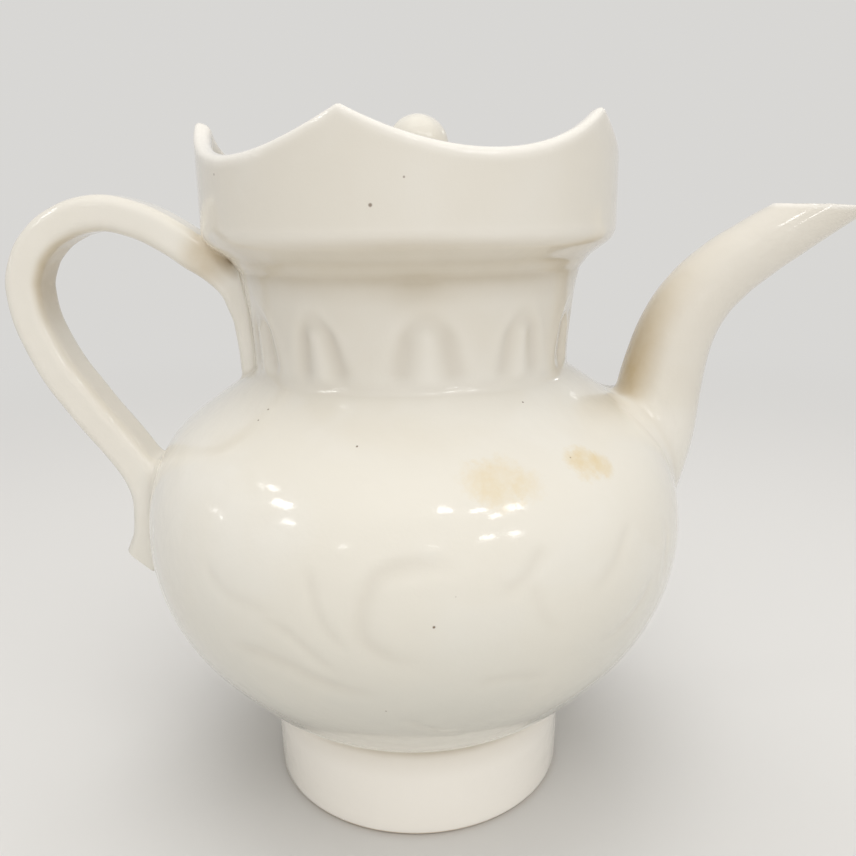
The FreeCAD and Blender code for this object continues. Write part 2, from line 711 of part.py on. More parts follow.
# The strap's middle line from the foot of the neck, up, over and down to the belly: the radius
# that the row starts from and the share of the way out from there to the strap's far side, the
# share of the way up from the girth, the heading in degrees (0 up, 90 towards -X), and the size
# that gives the strap's thickness.
handleShares = [
    ("neck_foot_radius", -0.016, 0.430, 0.0, "handle_tail"),
    ("neck_foot_radius", -0.010, 0.539, 2.0, "handle_tail"),
    ("neck_foot_radius", 0.005, 0.648, 8.0, "handle_tail"),
    ("neck_foot_radius", 0.052, 0.736, 22.0, "handle_turn"),
    ("neck_foot_radius", 0.128, 0.804, 46.0, "handle_bend"),
    ("neck_foot_radius", 0.222, 0.866, 56.0, "handle_strap"),
    ("neck_foot_radius", 0.320, 0.916, 58.0, "handle_strap"),
    ("neck_foot_radius", 0.477, 0.976, 71.0, "handle_strap"),
    ("neck_foot_radius", 0.639, 1.000, 92.0, "handle_strap"),
    ("neck_foot_radius", 0.790, 0.974, 116.0, "handle_strap"),
    ("neck_foot_radius", 0.890, 0.928, 135.0, "handle_strap"),
    ("neck_foot_radius", 0.962, 0.862, 156.0, "handle_strap"),
    ("neck_foot_radius", 1.000, 0.770, 180.0, "handle_strap"),
    ("belly_radius", 0.938, 0.628, 200.0, "handle_strap"),
    ("belly_radius", 0.685, 0.445, 215.0, "handle_limb"),
    ("belly_radius", 0.484, 0.340, 216.0, "handle_limb"),
    ("belly_radius", 0.266, 0.235, 214.0, "handle_limb"),
    ("belly_radius", 0.126, 0.152, 204.0, "handle_limb"),
    ("belly_radius", 0.058, 0.072, 189.0, "handle_limb"),
    ("belly_radius", 0.044, -0.010, 179.0, "handle_foot"),
    ("belly_radius", 0.067, -0.075, 170.0, "handle_foot"),
    ("belly_radius", 0.130, -0.132, 158.0, "handle_foot"),
    ("belly_radius", 0.219, -0.195, 152.0, "handle_foot"),
    ("belly_radius", 0.332, -0.290, 152.0, "handle_foot"),
]


# The rounding of the strap's edges takes at most this share of its thickness.
strapCornerShare = 0.45


def strapSection(center, heading, thickness):
    """A rounded rectangle square to the heading, thickness in the handle's plane."""
    angle = math.radians(heading)
    across = FreeCAD.Vector(math.cos(angle), 0, math.sin(angle))
    sideways = FreeCAD.Vector(0, 1, 0)
    corner = min(size("handle_corner"), thickness * strapCornerShare)
    straightU = thickness / 2 - corner
    straightV = size("handle_width") / 2 - corner

    def point(u, v):
        return center + across * u + sideways * v

    edges = []
    for quarter, (sideU, sideV) in enumerate(((1, 1), (-1, 1), (-1, -1), (1, -1))):
        arc = []
        for turn in (0, 45, 90):
            around = math.radians(90 * quarter + turn)
            u = sideU * straightU + corner * math.cos(around)
            v = sideV * straightV + corner * math.sin(around)
            arc.append(point(u, v))
        if edges:
            edges.append(Part.LineSegment(edges[-1].valueAt(edges[-1].LastParameter), arc[0]).toShape())
        edges.append(Part.Arc(*arc).toShape())
    first = edges[0].valueAt(edges[0].FirstParameter)
    edges.append(Part.LineSegment(edges[-1].valueAt(edges[-1].LastParameter), first).toShape())
    return Part.Wire(edges)


def handle(body):
    sections = []
    for inner, outShare, upShare, heading, thickness in handleShares:
        x = size(inner) + outShare * (size("handle_reach") - size(inner))
        z = size("girth_height") + upShare * size("handle_rise")
        sections.append(strapSection(place(-x, z), heading, size(thickness)))
    strap = Part.makeLoft(sections, True, False).cut(body)
    # the end on the belly is cut off slanting, which leaves a little beak
    end = place(-size("belly_radius"), size("girth_height") - size("handle_end_drop"))
    return largest(strap.cut(knife(end, 180 + size("handle_end_angle"))))


def shaped(label, shape):
    feature = doc.addObject("Part::Feature", label)
    feature.Label = label
    feature.Shape = shape
    feature.Placement = FreeCAD.Placement()
    return feature


pieces = [
    footRing(),
    bellyLower(),
    bellyUpper(),
    neck(),
    mouthCup(),
    lidDisc(),
    lidFlange(),
    lidKnob(),
]
outside = envelope()
pieces.append(shaped("spout", spout(outside)))
pieces.append(shaped("handle_strap", handle(outside)))
doc.recompute()

for item in doc.Objects:
    if "Invalid" in item.State or "Error" in item.State:
        raise RuntimeError("%s failed: %s" % (item.Name, item.State))
os.makedirs("parts", exist_ok=True)
for piece in pieces:
    if piece.Shape.isNull() or not piece.Shape.isValid():
        raise RuntimeError(piece.Label + " has no valid shape")
    if len(piece.Shape.Solids) != 1:
        raise RuntimeError("%s has %d solids" % (piece.Label, len(piece.Shape.Solids)))
for piece in pieces:
    piece.Shape.exportStep("parts/%s.step" % piece.Label)
    box = piece.Shape.optimalBoundingBox()
    print("%-28s %9.0f mm3  x %.1f %.1f  y %.1f %.1f  z %.1f %.1f" % (
        piece.Label, piece.Shape.Volume, box.XMin, box.XMax, box.YMin, box.YMax, box.ZMin, box.ZMax))
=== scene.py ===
import math

import bmesh
import bpy
import numpy as np
from mathutils import Matrix, Quaternion, Vector


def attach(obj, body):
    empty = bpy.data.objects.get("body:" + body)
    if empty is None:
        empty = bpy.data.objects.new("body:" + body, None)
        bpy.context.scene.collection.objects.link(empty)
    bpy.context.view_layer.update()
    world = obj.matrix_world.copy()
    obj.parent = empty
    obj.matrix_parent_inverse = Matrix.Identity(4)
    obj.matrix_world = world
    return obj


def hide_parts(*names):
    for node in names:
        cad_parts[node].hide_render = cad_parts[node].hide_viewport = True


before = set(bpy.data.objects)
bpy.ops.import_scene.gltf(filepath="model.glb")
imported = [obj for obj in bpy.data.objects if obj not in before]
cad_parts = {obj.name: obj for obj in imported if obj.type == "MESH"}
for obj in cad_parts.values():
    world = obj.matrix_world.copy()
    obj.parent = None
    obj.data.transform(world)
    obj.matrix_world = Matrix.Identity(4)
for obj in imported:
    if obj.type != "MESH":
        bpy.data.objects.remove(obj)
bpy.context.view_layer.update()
mm = 0.001

# Flower-mouthed white porcelain ewer. Sizes in the dictionaries are millimetres and degrees.
# Angles round the axis count from the front (-Y) towards the spout (+X).


# Drawing the thrown outline

class Pen:  # draws a half outline on the XZ plane, one vertex pulled along by spin
    def __init__(self, bm, r, z):
        self.bm = bm
        self.tip = bm.verts.new((r * mm, 0, z * mm))
        self.first = self.tip
        self.marks = {}

    def at(self):
        return np.array([self.tip.co.x, self.tip.co.z]) / mm

    def pull(self, centre, turn, drift, steps):
        made = bmesh.ops.spin(
            self.bm, geom=[self.tip], cent=(centre[0] * mm, 0, centre[1] * mm), axis=(0, -1, 0),
            dvec=(drift[0] * mm, 0, drift[1] * mm), angle=turn, steps=steps,
            use_merge=False, use_normal_flip=False, use_duplicate=False,
        )
        self.tip = [g for g in made["geom_last"] if isinstance(g, bmesh.types.BMVert)][0]

    def line(self, r, z, step):
        way = np.array([r, z]) - self.at()
        length = np.hypot(*way)
        if length > 1e-4:
            steps = max(1, round(length / step))
            self.pull((0, 0), 0.0, way / steps, steps)

    def arc(self, r, z, degrees, step):
        radius = np.hypot(*(self.at() - (r, z)))
        steps = max(2, round(radius * math.radians(abs(degrees)) / step))
        self.pull((r, z), math.radians(degrees), (0, 0), steps)

    def arcTo(self, r, z, radius, side, step):  # side 1: centre on the left
        start, end = self.at(), np.array([r, z])
        chord = end - start
        length = np.hypot(*chord)
        left = np.array([-chord[1], chord[0]]) / length * side
        centre = (start + end) / 2 + left * math.sqrt(max(radius**2 - length**2 / 4, 0))
        self.arc(*centre, math.degrees(2 * side * math.asin(min(1, length / 2 / radius))), step)

    def mark(self, name):
        self.marks[name] = self.tip

    def corners(self, points, step, fine):  # (radius, height, rounding, mark)
        for i, (r, z, rounding, name) in enumerate(points):
            here = np.array([r, z])
            if rounding:
                back = self.at() - here
                ahead = np.array(points[i + 1][:2]) - here
                back, ahead = back / np.hypot(*back), ahead / np.hypot(*ahead)
                half = math.acos(max(-1, min(1, back @ ahead))) / 2
                middle = (back + ahead) / np.hypot(*(back + ahead)) * rounding / math.sin(half)
                side = 1 if back[1] * ahead[0] - back[0] * ahead[1] > 0 else -1
                self.line(*(here + back * rounding / math.tan(half)), step)
                self.arc(*(here + middle), math.degrees(side * (math.pi - 2 * half)), fine)
            else:
                self.line(r, z, step)
            if name:
                self.mark(name)

    def chain(self):  # the outline's vertices from first to last
        found, before, here = [self.first], None, self.first
        while True:
            ahead = [e.other_vert(here) for e in here.link_edges if e.other_vert(here) is not before]
            if not ahead:
                return found
            before, here = here, ahead[0]
            found.append(here)


def turnRound(bm, steps):
    # a sector is spun, then copied and turned until it goes once round
    doublings = 0
    while steps % 2 == 0 and steps > 8:
        steps, doublings = steps // 2, doublings + 1
    sector = math.tau / 2**doublings
    bmesh.ops.spin(
        bm, geom=bm.verts[:] + bm.edges[:], cent=(0, 0, 0), axis=(0, 0, 1), dvec=(0, 0, 0),
        angle=sector, steps=steps, use_merge=False, use_normal_flip=False, use_duplicate=False,
    )
    for i in range(doublings):
        copied = bmesh.ops.duplicate(bm, geom=bm.verts[:] + bm.edges[:] + bm.faces[:])["geom"]
        verts = [g for g in copied if isinstance(g, bmesh.types.BMVert)]
        bmesh.ops.rotate(bm, cent=(0, 0, 0), matrix=Matrix.Rotation(sector * 2**i, 3, "Z"), verts=verts)
    bmesh.ops.remove_doubles(bm, verts=bm.verts[:], dist=2e-6)
    bmesh.ops.recalc_face_normals(bm, faces=bm.faces[:])


thrown = {
    "steps": 480,
    "outsideStep": 1.0,
    "insideStep": 3.0,
    "fine": 0.45,
    "wall": 5.0,
    "footHeight": 29.4,
    "footRadius": 46.2,
    "footTop": 46.9,
    "footEdge": 1.6,
    "recess": 40.2,
    "heel": (32.08, 59.43, 34.0),
    "hip": (24.1, 84.7, 56.6, 41.0),
    "shoulder": (30.7, 84.7, 50.0, 25.0),
    "crestRadius": 30.0,
    "crestAngle": 55.5,
    "neckSeat": 48.1,
    "neckFoot": 46.7,
    "neckFillet": 3.2,
    "neckTop": 49.6,
    "neckStraight": 4.0,
    "neckHeight": 29.4,
    "neckWall": 5.2,
    "cupSwell": (2.7, 3.6, 8.0),
    "cupRadius": 59.3,
    "cupUnderside": 8.6,
    "wallFrom": 17.0,
    "cupCorner": 6.0,
    "cupWall": 4.5,
    "ledge": 9.5,
    "crown": 37.7,
    "lipOutside": 2.1,
    "lipInside": 1.6,
}

t = thrown
down = math.radians


def placeRound(centre, reach, degrees):  # on the XZ plane
    return centre[0] + reach * math.cos(down(degrees)), centre[1] + reach * math.sin(down(degrees))


hipR, hipZ = placeRound(t["hip"], t["hip"][2], -t["hip"][3])
shoulderR, shoulderZ = placeRound(t["shoulder"], t["shoulder"][2], t["shoulder"][3])
crestCentre = placeRound((shoulderR, shoulderZ), -t["crestRadius"], t["shoulder"][3])
crestR, crestZ = placeRound(crestCentre, t["crestRadius"], t["crestAngle"])
neckBase = crestZ + (crestR - t["neckSeat"]) / math.tan(down(t["crestAngle"]))
neckRun = t["neckHeight"] - t["neckStraight"]
neckFlare = t["neckTop"] - t["neckFoot"]
neckArc = (neckRun ** 2 + neckFlare ** 2) / (2 * neckFlare)
neckTurn = math.degrees(math.asin(neckRun / neckArc))
neckTopZ = neckBase + t["neckHeight"]
ledgeZ = neckTopZ + t["ledge"]
crownZ = neckTopZ + t["crown"]
neckBore = t["neckFoot"] - t["neckWall"]
throat = t["neckTop"] - t["neckWall"]
cupInside = t["cupRadius"] - t["cupWall"]


def drawBody(bm):
    out, inside, fine = t["outsideStep"], t["insideStep"], t["fine"]
    pen = Pen(bm, 0, t["footHeight"])
    pen.line(t["recess"] - 1.5, t["footHeight"], inside)
    pen.mark("recessTop")
    pen.arc(t["recess"] - 1.5, t["footHeight"] - 1.5, -90, fine)
    pen.line(t["recess"], t["footEdge"], inside)
    pen.arc(t["recess"] + t["footEdge"], t["footEdge"], 90, fine)
    pen.line(t["footRadius"] - t["footEdge"], 0, out)
    pen.arc(t["footRadius"] - t["footEdge"], t["footEdge"], 90, fine)
    heelR, heelZ, heelArc = t["heel"]
    start = placeRound((heelR, heelZ), heelArc, -60)
    pen.corners(
        [(46.89, 28.85, 1.4, None), (47.93, t["footHeight"], 0, "footTop"), (*start, 0, None)], out, 0.3)
    pen.arc(heelR, heelZ, 19, out)
    pen.line(hipR, hipZ, out)
    pen.mark("bellyStart")
    pen.arc(t["hip"][0], t["hip"][1], t["hip"][3], out)
    pen.mark("girth")
    pen.arc(t["shoulder"][0], t["shoulder"][1], t["shoulder"][3], out)
    pen.arc(*crestCentre, t["crestAngle"] - t["shoulder"][3], out)
    pen.mark("bellyEnd")
    pen.line(t["neckSeat"], neckBase, out)
    pen.mark("neckFoot")
    # the hollow at the foot of the neck
    fillet = t["neckFillet"]
    hollowR = t["neckFoot"] + fillet
    rise = math.sqrt(fillet ** 2 - (hollowR - t["neckSeat"]) ** 2)
    pen.arc(hollowR, neckBase + rise, -math.degrees(math.asin(rise / fillet)), fine)
    pen.line(t["neckFoot"], neckBase + t["neckStraight"], 0.6)
    pen.arc(t["neckFoot"] + neckArc, neckBase + t["neckStraight"], -neckTurn, 0.6)
    pen.mark("neckTop")
    swell = t["cupSwell"]
    pen.corners(
        [
            (t["neckTop"] + swell[0], neckTopZ + swell[1], swell[2], None),
            (t["cupRadius"], neckTopZ + t["cupUnderside"], t["cupCorner"], None),
            (t["cupRadius"], neckTopZ + t["wallFrom"], 0, "wallOutside"),
            (t["cupRadius"], crownZ, t["lipOutside"], None),
            (cupInside, crownZ, t["lipInside"], None),
            (cupInside, neckTopZ + t["wallFrom"], 0, "wallInside"),
            (cupInside, ledgeZ, 1.2, None),
            (throat, ledgeZ, 0.8, None),
            (throat, neckTopZ, 0, "throat"),
        ],
        out, fine,
    )
    pen.arc(t["neckFoot"] + neckArc, neckBase + t["neckStraight"], neckTurn, inside)
    pen.line(neckBore, neckBase, inside)
    pen.mark("neckBore")
    cut = t["crestRadius"] - t["wall"]
    innerCrest = placeRound(crestCentre, cut, t["crestAngle"])
    bend = innerCrest[1] + (innerCrest[0] - neckBore) / math.tan(down(t["crestAngle"]))
    pen.corners([(neckBore, bend, 1.5, None), (*innerCrest, 0, None)], inside, fine)
    pen.arc(*crestCentre, t["shoulder"][3] - t["crestAngle"], inside)
    pen.arc(t["shoulder"][0], t["shoulder"][1], -t["shoulder"][3], inside)
    pen.mark("girthInside")
    pen.arc(t["hip"][0], t["hip"][1], -t["hip"][3], inside)
    floorZ = t["footHeight"] + t["wall"]
    slope = math.tan(down(t["hip"][3]))
    here = pen.at()
    floorR = here[0] - (here[1] - floorZ) * slope
    pen.corners([(floorR, floorZ, 14.0, None), (0, floorZ, 0, None)], inside, 1.5)
    return pen


print("outline of the thrown body")
bm = bmesh.new()
rowLayer = bm.verts.layers.int.new("row")
pen = drawBody(bm)
outline = pen.chain()
rowOf = {v: i for i, v in enumerate(outline)}
marks = {name: rowOf[v] for name, v in pen.marks.items()}
# a potter's rib eases the joins of the belly's curves
easing = outline[marks["footTop"] + 4:marks["neckFoot"] - 2]
for _ in range(24):
    bmesh.ops.smooth_vert(bm, verts=easing, factor=0.5, use_axis_x=True, use_axis_z=True)
outline[marks["girth"]].co.z = t["hip"][1] * mm
for i, v in enumerate(outline):
    v[rowLayer] = i
profile = np.array([(v.co.x, v.co.z) for v in outline]) / mm
turnRound(bm, t["steps"])
wholeBody = bpy.data.meshes.new("wholeBody")
bm.to_mesh(wholeBody)
bm.free()


def readCo(mesh):
    co = np.zeros(len(mesh.vertices) * 3)
    mesh.vertices.foreach_get("co", co)
    return co.reshape(-1, 3) / mm


def writeCo(mesh, co):
    mesh.vertices.foreach_set("co", (co * mm).ravel())
    mesh.update()


def readNormals(mesh):
    normals = np.zeros(len(mesh.vertices) * 3)
    mesh.vertex_normals.foreach_get("vector", normals)
    return normals.reshape(-1, 3)


def ease(low, high, value):  # smooth step from 0 at low to 1 at high
    s = np.clip((value - low) / (high - low), 0, 1)
    return s * s * (3 - 2 * s)


def aroundAxis(co):
    return np.degrees(np.arctan2(co[:, 0], -co[:, 1]))


# Distance fields, in millimetres: below zero inside. Each gives values and directions.

fieldStep = 0.5
fieldLow = np.array([0.0, 20.0])
fieldShape = (261, 381)


def bodyGrid():
    # signed distance to the filled outside of foot, belly, neck and cup
    low = profile[:marks["girth"]] - (t["footRadius"], t["footEdge"])
    shell = profile[np.argmin(np.hypot(*low.T)):marks["wallOutside"] + 1]
    top = 225.0
    ring = np.vstack([[(0.0, shell[0, 1])], shell, [(shell[-1, 0], top), (0.0, top)]])
    a, b = ring[:-1], ring[1:]
    r = fieldLow[0] + np.arange(fieldShape[0]) * fieldStep
    z = fieldLow[1] + np.arange(fieldShape[1]) * fieldStep
    points = np.stack(np.meshgrid(r, z, indexing="ij"), -1).reshape(-1, 2)
    best = np.full(len(points), 1e9)
    crossings = np.zeros(len(points), int)
    for p, q in zip(a, b):
        if p[0] < 1e-6 and q[0] < 1e-6:
            continue
        way = q - p
        share = np.clip(((points - p) @ way) / (way @ way), 0, 1)
        best = np.minimum(best, np.hypot(*(points - p - share[:, None] * way).T))
        above = (p[1] <= points[:, 1]) != (q[1] <= points[:, 1])
        with np.errstate(divide="ignore", invalid="ignore"):
            cross = p[0] + (points[:, 1] - p[1]) / (q[1] - p[1]) * way[0]
        crossings += above & (cross > points[:, 0])
    return np.where(crossings % 2 == 1, -best, best).reshape(fieldShape)


bodyDistance = bodyGrid()


def bodyField(co):
    r = np.hypot(co[:, 0], co[:, 1])
    spot = (np.stack([r, co[:, 2]], -1) - fieldLow) / fieldStep
    spot = np.clip(spot, 0, np.array(fieldShape) - 1.001)
    cell = spot.astype(int)
    u, v = (spot - cell).T
    i, j = cell.T
    d = bodyDistance
    value = (
        (d[i, j] * (1 - u) + d[i + 1, j] * u) * (1 - v) + (d[i, j + 1] * (1 - u) + d[i + 1, j + 1] * u) * v)
    alongR = ((d[i + 1, j] - d[i, j]) * (1 - v) + (d[i + 1, j + 1] - d[i, j + 1]) * v) / fieldStep
    alongZ = ((d[i, j + 1] - d[i, j]) * (1 - u) + (d[i + 1, j + 1] - d[i + 1, j]) * u) / fieldStep
    safe = np.maximum(r, 1e-6)
    return value, np.stack([alongR * co[:, 0] / safe, alongR * co[:, 1] / safe, alongZ], -1)


def smoothPath(points, headings, samples):
    # a Hermite curve through points (x, z) with unit headings; returns places and span numbers
    places, spans = [], []
    for i in range(len(points) - 1):
        p, q = np.array(points[i]), np.array(points[i + 1])
        reach = np.hypot(*(q - p))
        m, n = headings[i] * reach, headings[i + 1] * reach
        for s in np.linspace(0, 1, samples, endpoint=False):
            h = (2 * s**3 - 3 * s**2 + 1, s**3 - 2 * s**2 + s, -2 * s**3 + 3 * s**2, s**3 - s**2)
            places.append(h[0] * p + h[1] * m + h[2] * q + h[3] * n)
            spans.append(i + s)
    places.append(np.array(points[-1]))
    spans.append(len(points) - 1.0)
    return np.array(places), np.array(spans)


def tangents(places):
    way = np.gradient(places, axis=0)
    return way / np.hypot(*way.T)[:, None]


def between(values, spans):  # Catmull-Rom between the numbers of a list
    values = np.array(values, float)
    slopes = np.gradient(values)
    i = np.minimum(spans.astype(int), len(values) - 2)
    s = spans - i
    return ((2 * s**3 - 3 * s**2 + 1) * values[i] + (s**3 - 2 * s**2 + s) * slopes[i]
            + (-2 * s**3 + 3 * s**2) * values[i + 1] + (s**3 - s**2) * slopes[i + 1])


spout = {
    "sides": 96,
    "rows": 150,
    "root": 67.8,
    "reach": 129.8,
    "girth": 84.7,
    "rise": 90.3,
    "rootRadius": 12.9,
    "lipRadius": 7.4,
    "rootWall": 4.6,
    "lipWall": 2.6,
    "lipTilt": 2.9,
    "lipRound": 0.55,
    "tip": 134.4,
    "bury": 2.8,
    "hole": 7.0,
    "holeNear": 16,
    # out, up, lean, share of the way from root radius to lip radius
    "line": [
        (0.012, 0.010, 17, 0.200), (0.100, 0.278, 8, 0.010), (0.127, 0.410, 8.5, 0.080),
        (0.167, 0.540, 14, 0.220), (0.228, 0.652, 27, 0.350), (0.307, 0.733, 39, 0.460),
        (0.418, 0.806, 49, 0.565), (0.555, 0.872, 55, 0.680), (0.706, 0.936, 59, 0.790),
        (0.875, 1.002, 61, 0.950), (1.026, 1.058, 62, 1.080),
    ],
}

spoutRun = spout["reach"] - spout["root"]
spoutPoints = [
    (spout["root"] + o * spoutRun, spout["girth"] + u * spout["rise"]) for o, u, _, _ in spout["line"]]
spoutHeadings = [np.array([math.sin(down(a)), math.cos(down(a))]) for _, _, a, _ in spout["line"]]
spoutPlaces, spoutSpans = smoothPath(spoutPoints, spoutHeadings, 24)
spoutWay = tangents(spoutPlaces)
spoutShare = between([share for *_, share in spout["line"]], spoutSpans)
spoutOuter = spout["rootRadius"] + spoutShare * (spout["lipRadius"] - spout["rootRadius"])
spoutBore = spoutOuter - (spout["rootWall"] + spoutShare * (spout["lipWall"] - spout["rootWall"]))
spoutLip = np.array([spout["reach"], 0, spout["girth"] + spout["rise"]])


def nearestOnPath(co, places, block=4000):
    found = np.zeros(len(co), int)
    flat = co[:, [0, 2]]
    for start in range(0, len(co), block):
        part = flat[start:start + block]
        found[start:start + block] = np.argmin(((part[:, None] - places[None]) ** 2).sum(-1), 1)
    return found


def alongPath(co, places, way, *others):
    # the nearest spot of the path, worked out between its samples
    i = nearestOnPath(co, places)
    flat = co[:, [0, 2]]
    ahead = ((flat - places[i]) * way[i]).sum(-1)
    gap = np.hypot(*np.diff(places, axis=0).T).mean()
    share = np.clip(ahead / gap, -1, 1)
    j = np.clip(i + np.sign(share).astype(int), 0, len(places) - 1)
    w = np.abs(share)[:, None]
    spot = places[i] * (1 - w) + places[j] * w
    turn = way[i] * (1 - w) + way[j] * w
    return (spot, turn / np.hypot(*turn.T)[:, None], *[o[i] * (1 - w[:, 0]) + o[j] * w[:, 0] for o in others])


def spoutField(co):
    spot, turn, radius = alongPath(co, spoutPlaces, spoutWay, spoutOuter)
    off = np.stack([co[:, 0] - spot[:, 0], co[:, 1], co[:, 2] - spot[:, 1]], -1)
    off[:, [0, 2]] -= turn * (off[:, [0, 2]] * turn).sum(-1)[:, None]
    reach = np.linalg.norm(off, axis=1)
    return reach - radius, off / np.maximum(reach, 1e-6)[:, None]


strap = {
    "rows": 330,
    "neckFoot": 46.7,
    "belly": 80.7,
    "reach": 112.9,
    "girth": 84.7,
    "rise": 91.45,
    "width": 15.2,
    "corner": 3.2,
    "end": (-80.7, 64.7),
    "endAngle": 41.0,
    "endRound": 1.0,
    # start radius, out, up, heading (0 up, 90 towards the handle), thickness
    "line": [
        ("neckFoot", -0.016, 0.430, 0, 10.6), ("neckFoot", -0.010, 0.539, 2, 10.6),
        ("neckFoot", 0.005, 0.648, 8, 10.6), ("neckFoot", 0.052, 0.736, 22, 9.4),
        ("neckFoot", 0.128, 0.804, 46, 8.4), ("neckFoot", 0.222, 0.866, 56, 10.3),
        ("neckFoot", 0.320, 0.916, 58, 10.3), ("neckFoot", 0.477, 0.976, 71, 10.3),
        ("neckFoot", 0.639, 1.000, 92, 10.3), ("neckFoot", 0.790, 0.974, 116, 10.3),
        ("neckFoot", 0.890, 0.928, 135, 10.3), ("neckFoot", 0.962, 0.862, 156, 10.3),
        ("neckFoot", 1.000, 0.770, 180, 10.3), ("belly", 0.938, 0.628, 200, 10.3),
        ("belly", 0.685, 0.445, 215, 11.0), ("belly", 0.484, 0.340, 216, 11.0),
        ("belly", 0.266, 0.235, 214, 11.0), ("belly", 0.126, 0.152, 204, 11.0),
        ("belly", 0.058, 0.072, 189, 11.0), ("belly", 0.044, -0.010, 179, 12.0),
        ("belly", 0.067, -0.075, 170, 12.0), ("belly", 0.130, -0.132, 158, 12.0),
        ("belly", 0.219, -0.195, 152, 12.0), ("belly", 0.332, -0.290, 152, 12.0),
    ],
}

strapPoints = [
    (-(strap[s] + o * (strap["reach"] - strap[s])), strap["girth"] + u * strap["rise"])
    for s, o, u, _, _ in strap["line"]]
strapHeadings = [np.array([-math.sin(down(a)), math.cos(down(a))]) for _, _, _, a, _ in strap["line"]]
strapPlaces, strapSpans = smoothPath(strapPoints, strapHeadings, 30)
strapWay = tangents(strapPlaces)
strapThick = between([thick for *_, thick in strap["line"]], strapSpans)
strapEndWay = np.array([-math.sin(down(strap["endAngle"])), 0, -math.cos(down(strap["endAngle"]))])


def smoothMax(a, da, b, db, k):
    h = np.maximum(k - np.abs(a - b), 0) / k
    w = np.where(a > b, 1 - h / 2, h / 2)[:, None]
    return np.maximum(a, b) + h * h * k / 4, da * w + db * (1 - w)


def strapField(co):
    spot, turn, thick = alongPath(co, strapPlaces, strapWay, strapThick)
    across = np.stack([turn[:, 1], -turn[:, 0]], -1)
    u = ((co[:, [0, 2]] - spot) * across).sum(-1)
    corner = np.minimum(strap["corner"], thick * 0.45)
    qu = np.abs(u) - (thick / 2 - corner)
    qv = np.abs(co[:, 1]) - (strap["width"] / 2 - corner)
    outU, outV = np.maximum(qu, 0), np.maximum(qv, 0)
    reach = np.hypot(outU, outV)
    value = reach + np.minimum(np.maximum(qu, qv), 0) - corner
    inside = reach < 1e-6
    wu = np.where(inside, (qu > qv) * 1.0, outU / np.maximum(reach, 1e-6)) * np.sign(u)
    wv = np.where(inside, (qu <= qv) * 1.0, outV / np.maximum(reach, 1e-6)) * np.sign(co[:, 1])
    way = np.stack([wu * across[:, 0], wv, wu * across[:, 1]], -1)
    low = co[:, 2] < 80
    cut = (co[:, [0, 2]] - strap["end"]) @ strapEndWay[[0, 2]]
    cut = np.where(low, cut, -50.0)
    return smoothMax(value, way, cut, np.broadcast_to(strapEndWay, co.shape), 1.0)


def smoothMin(a, da, b, db, k):
    h = np.maximum(k - np.abs(a - b), 0) / k
    w = np.where(a < b, 1 - h / 2, h / 2)[:, None]
    return np.minimum(a, b) - h * h * k / 4, da * w + db * (1 - w)


# Slip wiped into the corners: how wide the fillet is at a place

def spoutSlip(co):
    return 4.4 + np.maximum(6.1 * ease(69, 77, co[:, 0]), 4.6 * ease(4, 11, np.abs(co[:, 1])))


def strapSlip(co):
    return 7.5 - 4.0 * ease(95, 118, co[:, 2]) - 1.0 * ease(140, 152, co[:, 2])


def fillet(spot, ownField, otherField, slip):
    # both distances, the fillet's width and the skin; it thins out where the two run alongside
    a, da = ownField(spot)
    b, db = otherField(spot)
    k = slip(spot) * np.clip(1 - (da * db).sum(1), 0.12, 1)
    return (a, b, k, *smoothMin(a, da, b, db, k))


def weld(co, normals, ownField, otherField, slip, around):
    # pulls the vertices near the other piece onto the wiped fillet; returns how deep they lie in it
    depth = np.zeros(len(co))
    about = np.where(((co > around[0]) & (co < around[1])).all(1))[0]
    own, other, k, _, _ = fillet(co[about], ownField, otherField, slip)
    chosen = (other < k) & (other > -3.2) & (own > -0.5)
    near, buried = about[chosen], other[chosen]
    if not len(near):
        return co, normals, depth
    spot = co[near].copy()
    for _ in range(9):
        a, b, k, f, df = fillet(spot, ownField, otherField, slip)
        df = df / np.maximum(np.linalg.norm(df, axis=1), 0.3)[:, None]
        spot = spot - np.clip(f, -2, 2)[:, None] * df
    df = df / np.linalg.norm(df, axis=1)[:, None]
    depth[near] = np.clip(1 - np.abs(a - b) / k, 1e-5, 1)
    # what lay well inside the other piece stays under its skin
    sunk = 0.2 * np.maximum(-buried - 0.4, 0)
    co[near] = spot - df * sunk[:, None]
    normals[near] = df
    return co, normals, depth


print("shaping the thrown body")
co = readCo(wholeBody)
row = np.zeros(len(co), int)
wholeBody.attributes["row"].data.foreach_get("value", row)
normals = readNormals(wholeBody)
angle = aroundAxis(co)
radius = np.hypot(co[:, 0], co[:, 1])


# The flower rim

crown = {
    "tips": [-84.0, -14.0, 56.3, 127.0, 201.0],
    "rises": [3.6, 1.8, 3.1, 0.0, 2.0],
    "depth": 10.7,
    "blunt": 0.9,
}


